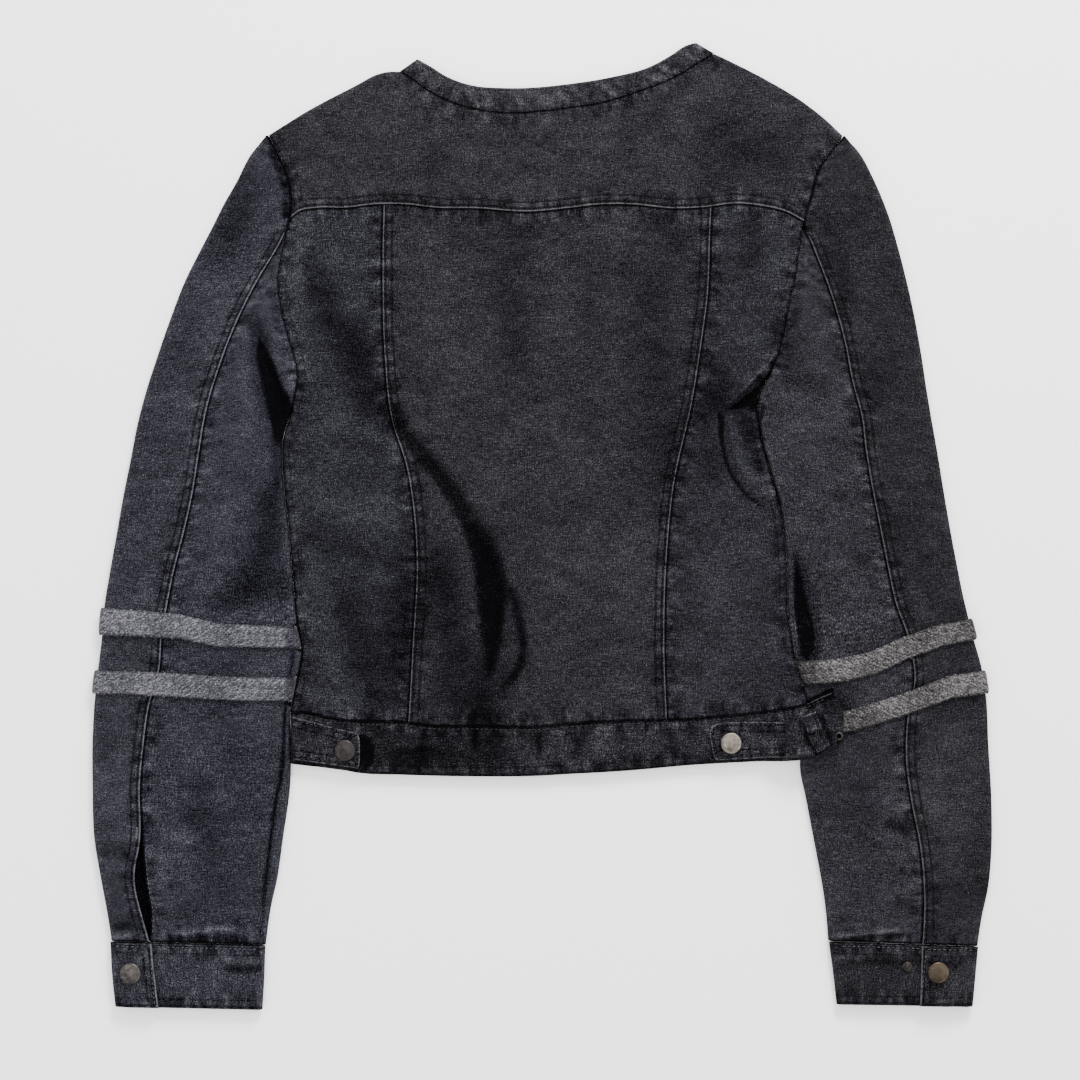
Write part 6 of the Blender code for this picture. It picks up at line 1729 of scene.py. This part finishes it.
def sew(name, piece, rows, shade="dark", tight=1.0, turned=False):
    # rows of stitches on the upper face of a piece; a bar tack has tight, turned ones
    points, faces = clothFaces[piece]
    tree = BVHTree.FromPolygons([tuple(p) for p in points], [tuple(f) for f in faces.tolist()])
    where, ways, ups = [], [], []
    for line in rows:
        run = lengths(line)[-1]
        count = max(1, int(run / (threadLook["step"] * tight)))
        shares = (np.arange(count) + 0.5) / count
        line, near = line[:, :2], 0.2 / run
        middle = along(line, shares)
        ahead = along(line, np.minimum(shares + near, 1.0)) - along(line, shares - near)
        for place, way in zip(middle, ahead):
            hit, normal, _, _ = tree.ray_cast((place[0] * mm, place[1] * mm, 0.06), (0.0, 0.0, -1.0))
            if hit is None or normal.z < 0.5:
                continue
            if turned:
                way = np.array([-way[1], way[0]])
            where.append(hit)
            ways.append((way[0], way[1], 0.0))
            ups.append(normal)
    where, ways, ups = (np.array([tuple(v) for v in values]) for values in (where, ways, ups))
    ways = units(ways - (ways * ups).sum(axis=1, keepdims=True) * ups)
    sides = np.cross(ups, ways)
    rng = np.random.default_rng(len(where))
    sway = rng.normal(0.0, threadLook["sway"], (len(where), 1))
    ways, sides = ways + sides * sway, sides - ways * sway
    size = 1.0 + rng.normal(0.0, threadLook["uneven"], (len(where), 1, 1))
    shape = stitchPoints[None] * size * mm
    copies = (where[:, None] + shape[..., :1] * ways[:, None] + shape[..., 1:2] * sides[:, None]
              + (shape[..., 2:] + threadLook["proud"] * mm) * ups[:, None])
    count = len(stitchPoints)
    allFaces = [tuple(v + k * count for v in face) for k in range(len(where)) for face in stitchFaces]
    mesh = bpy.data.meshes.new(name)
    mesh.from_pydata(copies.reshape(-1, 3).tolist(), [], allFaces)
    mesh.materials.append(threads[shade])
    mesh.shade_smooth()
    made = bpy.data.objects.new(name, mesh)
    bpy.context.collection.objects.link(made)
    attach(made, "root")


def sleeveRow(side, first, last, distance, open=False):
    # a line beside the sleeve's back seam, on the top sleeve or, with open, across the slit from it
    steps = np.linspace(first, last, int((last - first) * 10) + 2)
    outer, direction, width, seam, slit = sectionParts(throughRows(sleeves[side]["table"], steps))
    reach = (seam + slit) * width + distance if open else seam * width - distance
    return outer + direction * reach[:, None]


def cuffRow(table, lengthShare, first, last):
    rows = throughRows(table, [lengthShare * (len(table) - 1)])[0]
    outer, inner = rows[:2], rows[2:4]
    direction = (inner - outer) / np.linalg.norm(inner - outer)
    return np.array([outer + direction * r for r in np.linspace(first, last, 24)])


# distances of the rows from their edges; minus is to the line's right hand
seamLook = {
    "near": 2.0, "far": 6.2, "slit": 1.7, "neck": 1.6, "neckEdge": -1.8, "hem": 1.9, "waist": -1.7,
    "tab": {"left": -1.9, "right": 1.9}, "loop": 3.3, "slitTack": 2.4, "loopTack": 1.2,
    "slitTight": 0.17, "loopTight": 0.2,      # a bar tack's steps as a share of a seam's
    "cuffEnd": 4.0, "cuffLap": 2.0, "cuffTop": 0.045, "cuffHem": 0.95,
}


def sewAll():
    near, far = seamLook["near"], seamLook["far"]
    sew("stitches_yoke", "back_yoke_cloth", [beside(yokeLine, far)[2:-2]])
    sew("stitches_yoke_edge", "back_yoke_cloth", [beside(yokeLine, near)[2:-2]])
    sew("stitches_centre", "back_centre_cloth", [beside(seamLeft, -far), beside(seamRight, far)])
    sew("stitches_centre_edge", "back_centre_cloth", [beside(seamLeft, -near), beside(seamRight, near)])
    for side, ends in (("left", ((4.9, 14.9), (16.2, 16.96), (17.82, 24.0))),
                       ("right", ((4.9, 15.9), (17.1, 18.18), (19.05, 25.0)))):
        piece = f"top_sleeve_{side}_cloth"
        sew(f"stitches_sleeve_{side}", piece, [sleeveRow(side, a, b, far) for a, b in ends])
        sew(f"stitches_sleeve_edge_{side}", piece, [sleeveRow(side, a, b, near) for a, b in ends])
    sew("stitches_slit_left", "under_sleeve_left_cloth",
        [sleeveRow("left", 21.2, 23.6, seamLook["slit"], True)], "light")
    for side, first, last, shade in (("left", 20.75, 20.97, "light"), ("right", 21.45, 21.67, "dark")):
        sew("tack_slit_" + side, f"top_sleeve_{side}_cloth",
            [sleeveRow(side, first, last, seamLook["slitTack"])], shade, seamLook["slitTight"], True)
    neckRows = ((neckSeam, seamLook["neck"]), (neckEdge, seamLook["neckEdge"]))
    sew("stitches_neckband", "neckband_back_cloth", [beside(curve(line), d)[3:-3] for line, d in neckRows])
    sew("stitches_waistband", "waistband_back_cloth", [beside(hemLine, seamLook["hem"])[4:-4]])
    sew("stitches_waistband_top", "waistband_back_cloth", [beside(waistTop, seamLook["waist"])[4:-6]],
        "middle")
    for side, table in (("left", cuffLeft), ("right", cuffRight)):
        width = math.dist(table[1][0:2], table[1][2:4])
        lapAt = table[1][4] * width
        piece = f"cuff_{side}_cloth"
        end, lap = seamLook["cuffEnd"], seamLook["cuffLap"]
        spans = ((end, lapAt - lap), (lapAt + lap, width - end))
        for label, place, shade in (("", "cuffTop", "light"), ("_hem", "cuffHem", "dark")):
            rows = [cuffRow(table, seamLook[place], *span) for span in spans]
            sew(f"stitches_cuff{label}_{side}", piece, rows, shade)
        edge = np.array([cuffRow(table, t, lapAt - 1.7, lapAt - 1.6)[0] for t in np.linspace(0.05, 0.95, 12)])
        sew(f"stitches_cuff_lap_{side}", piece, [edge], "light")
    for side, edge in tabEdges.items():
        sew(f"stitches_tab_{side}", f"waist_tab_{side}_cloth", [beside(edge, seamLook["tab"][side])[3:-3]],
            "middle")
    sew("stitches_loop", "belt_loop_right_cloth",
        [beside(loopPath, d)[2:-2] for d in (seamLook["loop"], -seamLook["loop"])])
    for label, part in (("upper", loopPath[1:4]), ("lower", loopPath[-5:-2])):
        sew(f"tack_loop_{label}", "belt_loop_right_cloth",
            [beside(part, d) for d in (seamLook["loopTack"], -seamLook["loopTack"])],
            "dark", seamLook["loopTight"], True)


sewAll()
print("seams are stitched")


# buttons, snap and eyelet

buttonLook = {
    "softened": 0.12, "softenedFrom": 24.0, "smooth": 40.0,      # width of the rounded edges, and degrees
    "sides": {"button": 56, "snap": 36, "eyelet": 36},
    # the profiles: radius as a share of the button's, height as a share of its rise
    "button": [(0.62, 0.0), (0.62, 0.34), (0.95, 0.40), (1.0, 0.56), (0.985, 0.76), (0.93, 0.88),
               (0.87, 0.86), (0.84, 0.82), (0.70, 0.90), (0.45, 0.97), (0.16, 1.0)],
    "snap": [(0.62, 0.0), (0.62, 0.34), (0.95, 0.40), (1.0, 0.55), (0.9, 0.62), (0.62, 0.60), (0.46, 0.52),
             (0.44, 0.74), (0.34, 0.94), (0.14, 1.0)],
    "eyelet": [(0.62, 0.0), (0.62, 0.34), (0.92, 0.42), (1.0, 0.62), (0.92, 0.90), (0.76, 1.0), (0.58, 0.88),
               (0.50, 0.58), (0.47, 0.06), (0.16, 0.05)],
}


def turnPiece(name, kind, material, heart=None):
    # a round piece, drawn up from its foot by extruding and resizing its top
    low, high = (np.array(corner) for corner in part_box(name))
    centre, rise = (low + high) / 2, high[2] - low[2]
    radius = (high[0] - low[0]) / 2
    profile, sides = buttonLook[kind], buttonLook["sides"][kind]
    deselectAll()
    bpy.ops.mesh.primitive_circle_add(vertices=sides, radius=radius * profile[0][0], fill_type="NGON",
                                      location=(centre[0], centre[1], low[2]))
    made = bpy.context.object
    bpy.ops.object.transform_apply(location=True, rotation=True, scale=True)
    bpy.ops.object.mode_set(mode="EDIT")
    bpy.ops.mesh.select_all(action="SELECT")
    for (share, height), (nextShare, nextHeight) in zip(profile[:-1], profile[1:]):
        bpy.ops.mesh.extrude_region_move(
            TRANSFORM_OT_translate={"value": (0.0, 0.0, (nextHeight - height) * rise)})
        bpy.ops.transform.resize(value=(nextShare / share, nextShare / share, 1.0),
                                 center_override=(centre[0], centre[1], low[2]))
    bpy.ops.mesh.select_all(action="SELECT")
    bpy.ops.mesh.normals_make_consistent(inside=False)
    bpy.ops.object.mode_set(mode="OBJECT")
    made.name = name + "_metal"
    made.data.name = name + "_metal"
    made.data.materials.append(material)
    if heart:
        made.data.materials.append(heart[1])
        for face in made.data.polygons:
            away = math.hypot(face.center[0] - centre[0], face.center[1] - centre[1])
            face.material_index = int(away < radius * heart[0])
    bevel = made.modifiers.new("softer edges", "BEVEL")
    bevel.width, bevel.segments, bevel.limit_method = buttonLook["softened"] * mm, 2, "ANGLE"
    bevel.angle_limit = math.radians(buttonLook["softenedFrom"])
    bpy.ops.object.modifier_apply(modifier=bevel.name)
    bpy.ops.object.shade_smooth_by_angle(angle=math.radians(buttonLook["smooth"]))
    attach(made, "root")
    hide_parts(name)


for where, kind in buttonMetal.items():
    turnPiece(where, "button", metalMaterial(where + "_metal", kind, where))
turnPiece("cuff_snap_right", "snap", metalMaterial("snap_ring", "worn", "cuff_snap_right"),
          (0.47, metalMaterial("snap_ball", "grey", "cuff_snap_right")))
# the eyelet's hole is a near-black disc: painted shade where the cloth below would show
turnPiece("waist_eyelet_right", "eyelet", metalMaterial("eyelet_ring", "worn", "waist_eyelet_right"),
          (0.49, denimMaterial("eyelet_hole_shade", (12, 11, 13), 4)))
print("buttons are set")


# stage, light and camera

stageLook = {"floor": (255, 255, 255), "matt": 0.9, "wide": 6.0, "sky": 1.75, "lens": 85.0, "sensor": 36.0,
             "eye": (-0.00175, -0.01015), "frame": 0.756}
lamps = {
    # place, size and power
    "key": ((0.55, 1.75, 1.15), 0.7, 104.0),
    "fill": ((-1.2, -0.4, 2.1), 1.8, 28.0),
}


def makeStage():
    deselectAll()
    bpy.ops.mesh.primitive_plane_add(size=stageLook["wide"], location=(0.0, 0.0, -0.0002))
    floor = bpy.context.object
    floor.name = "floor"
    n = materialNodes("floor_paper")
    n.shader.inputs["Base Color"].default_value = screenColour(*stageLook["floor"])
    n.shader.inputs["Roughness"].default_value = stageLook["matt"]
    floor.data.materials.append(n.material)
    world = bpy.data.worlds.new("studio")
    world.use_nodes = True
    sky = world.node_tree.nodes["Background"].inputs
    sky["Color"].default_value = (1.0, 1.0, 1.0, 1.0)
    sky["Strength"].default_value = stageLook["sky"]
    bpy.context.scene.world = world
    for name, (place, size, power) in lamps.items():
        light = bpy.data.lights.new(name, "AREA")
        light.size, light.energy = size, power
        lamp = bpy.data.objects.new(name, light)
        bpy.context.collection.objects.link(lamp)
        lamp.location = place
        turn = np.arctan2(math.hypot(place[0], place[1]), place[2])
        lamp.rotation_euler = (0.0, turn, math.atan2(place[1], place[0]))
    camera = bpy.data.cameras.new("camera")
    camera.lens, camera.sensor_width = stageLook["lens"], stageLook["sensor"]
    view = bpy.data.objects.new("camera", camera)
    bpy.context.collection.objects.link(view)
    view.location = (*stageLook["eye"], stageLook["frame"] * camera.lens / camera.sensor_width)
    bpy.context.scene.camera = view


makeStage()

print("stage is lit")
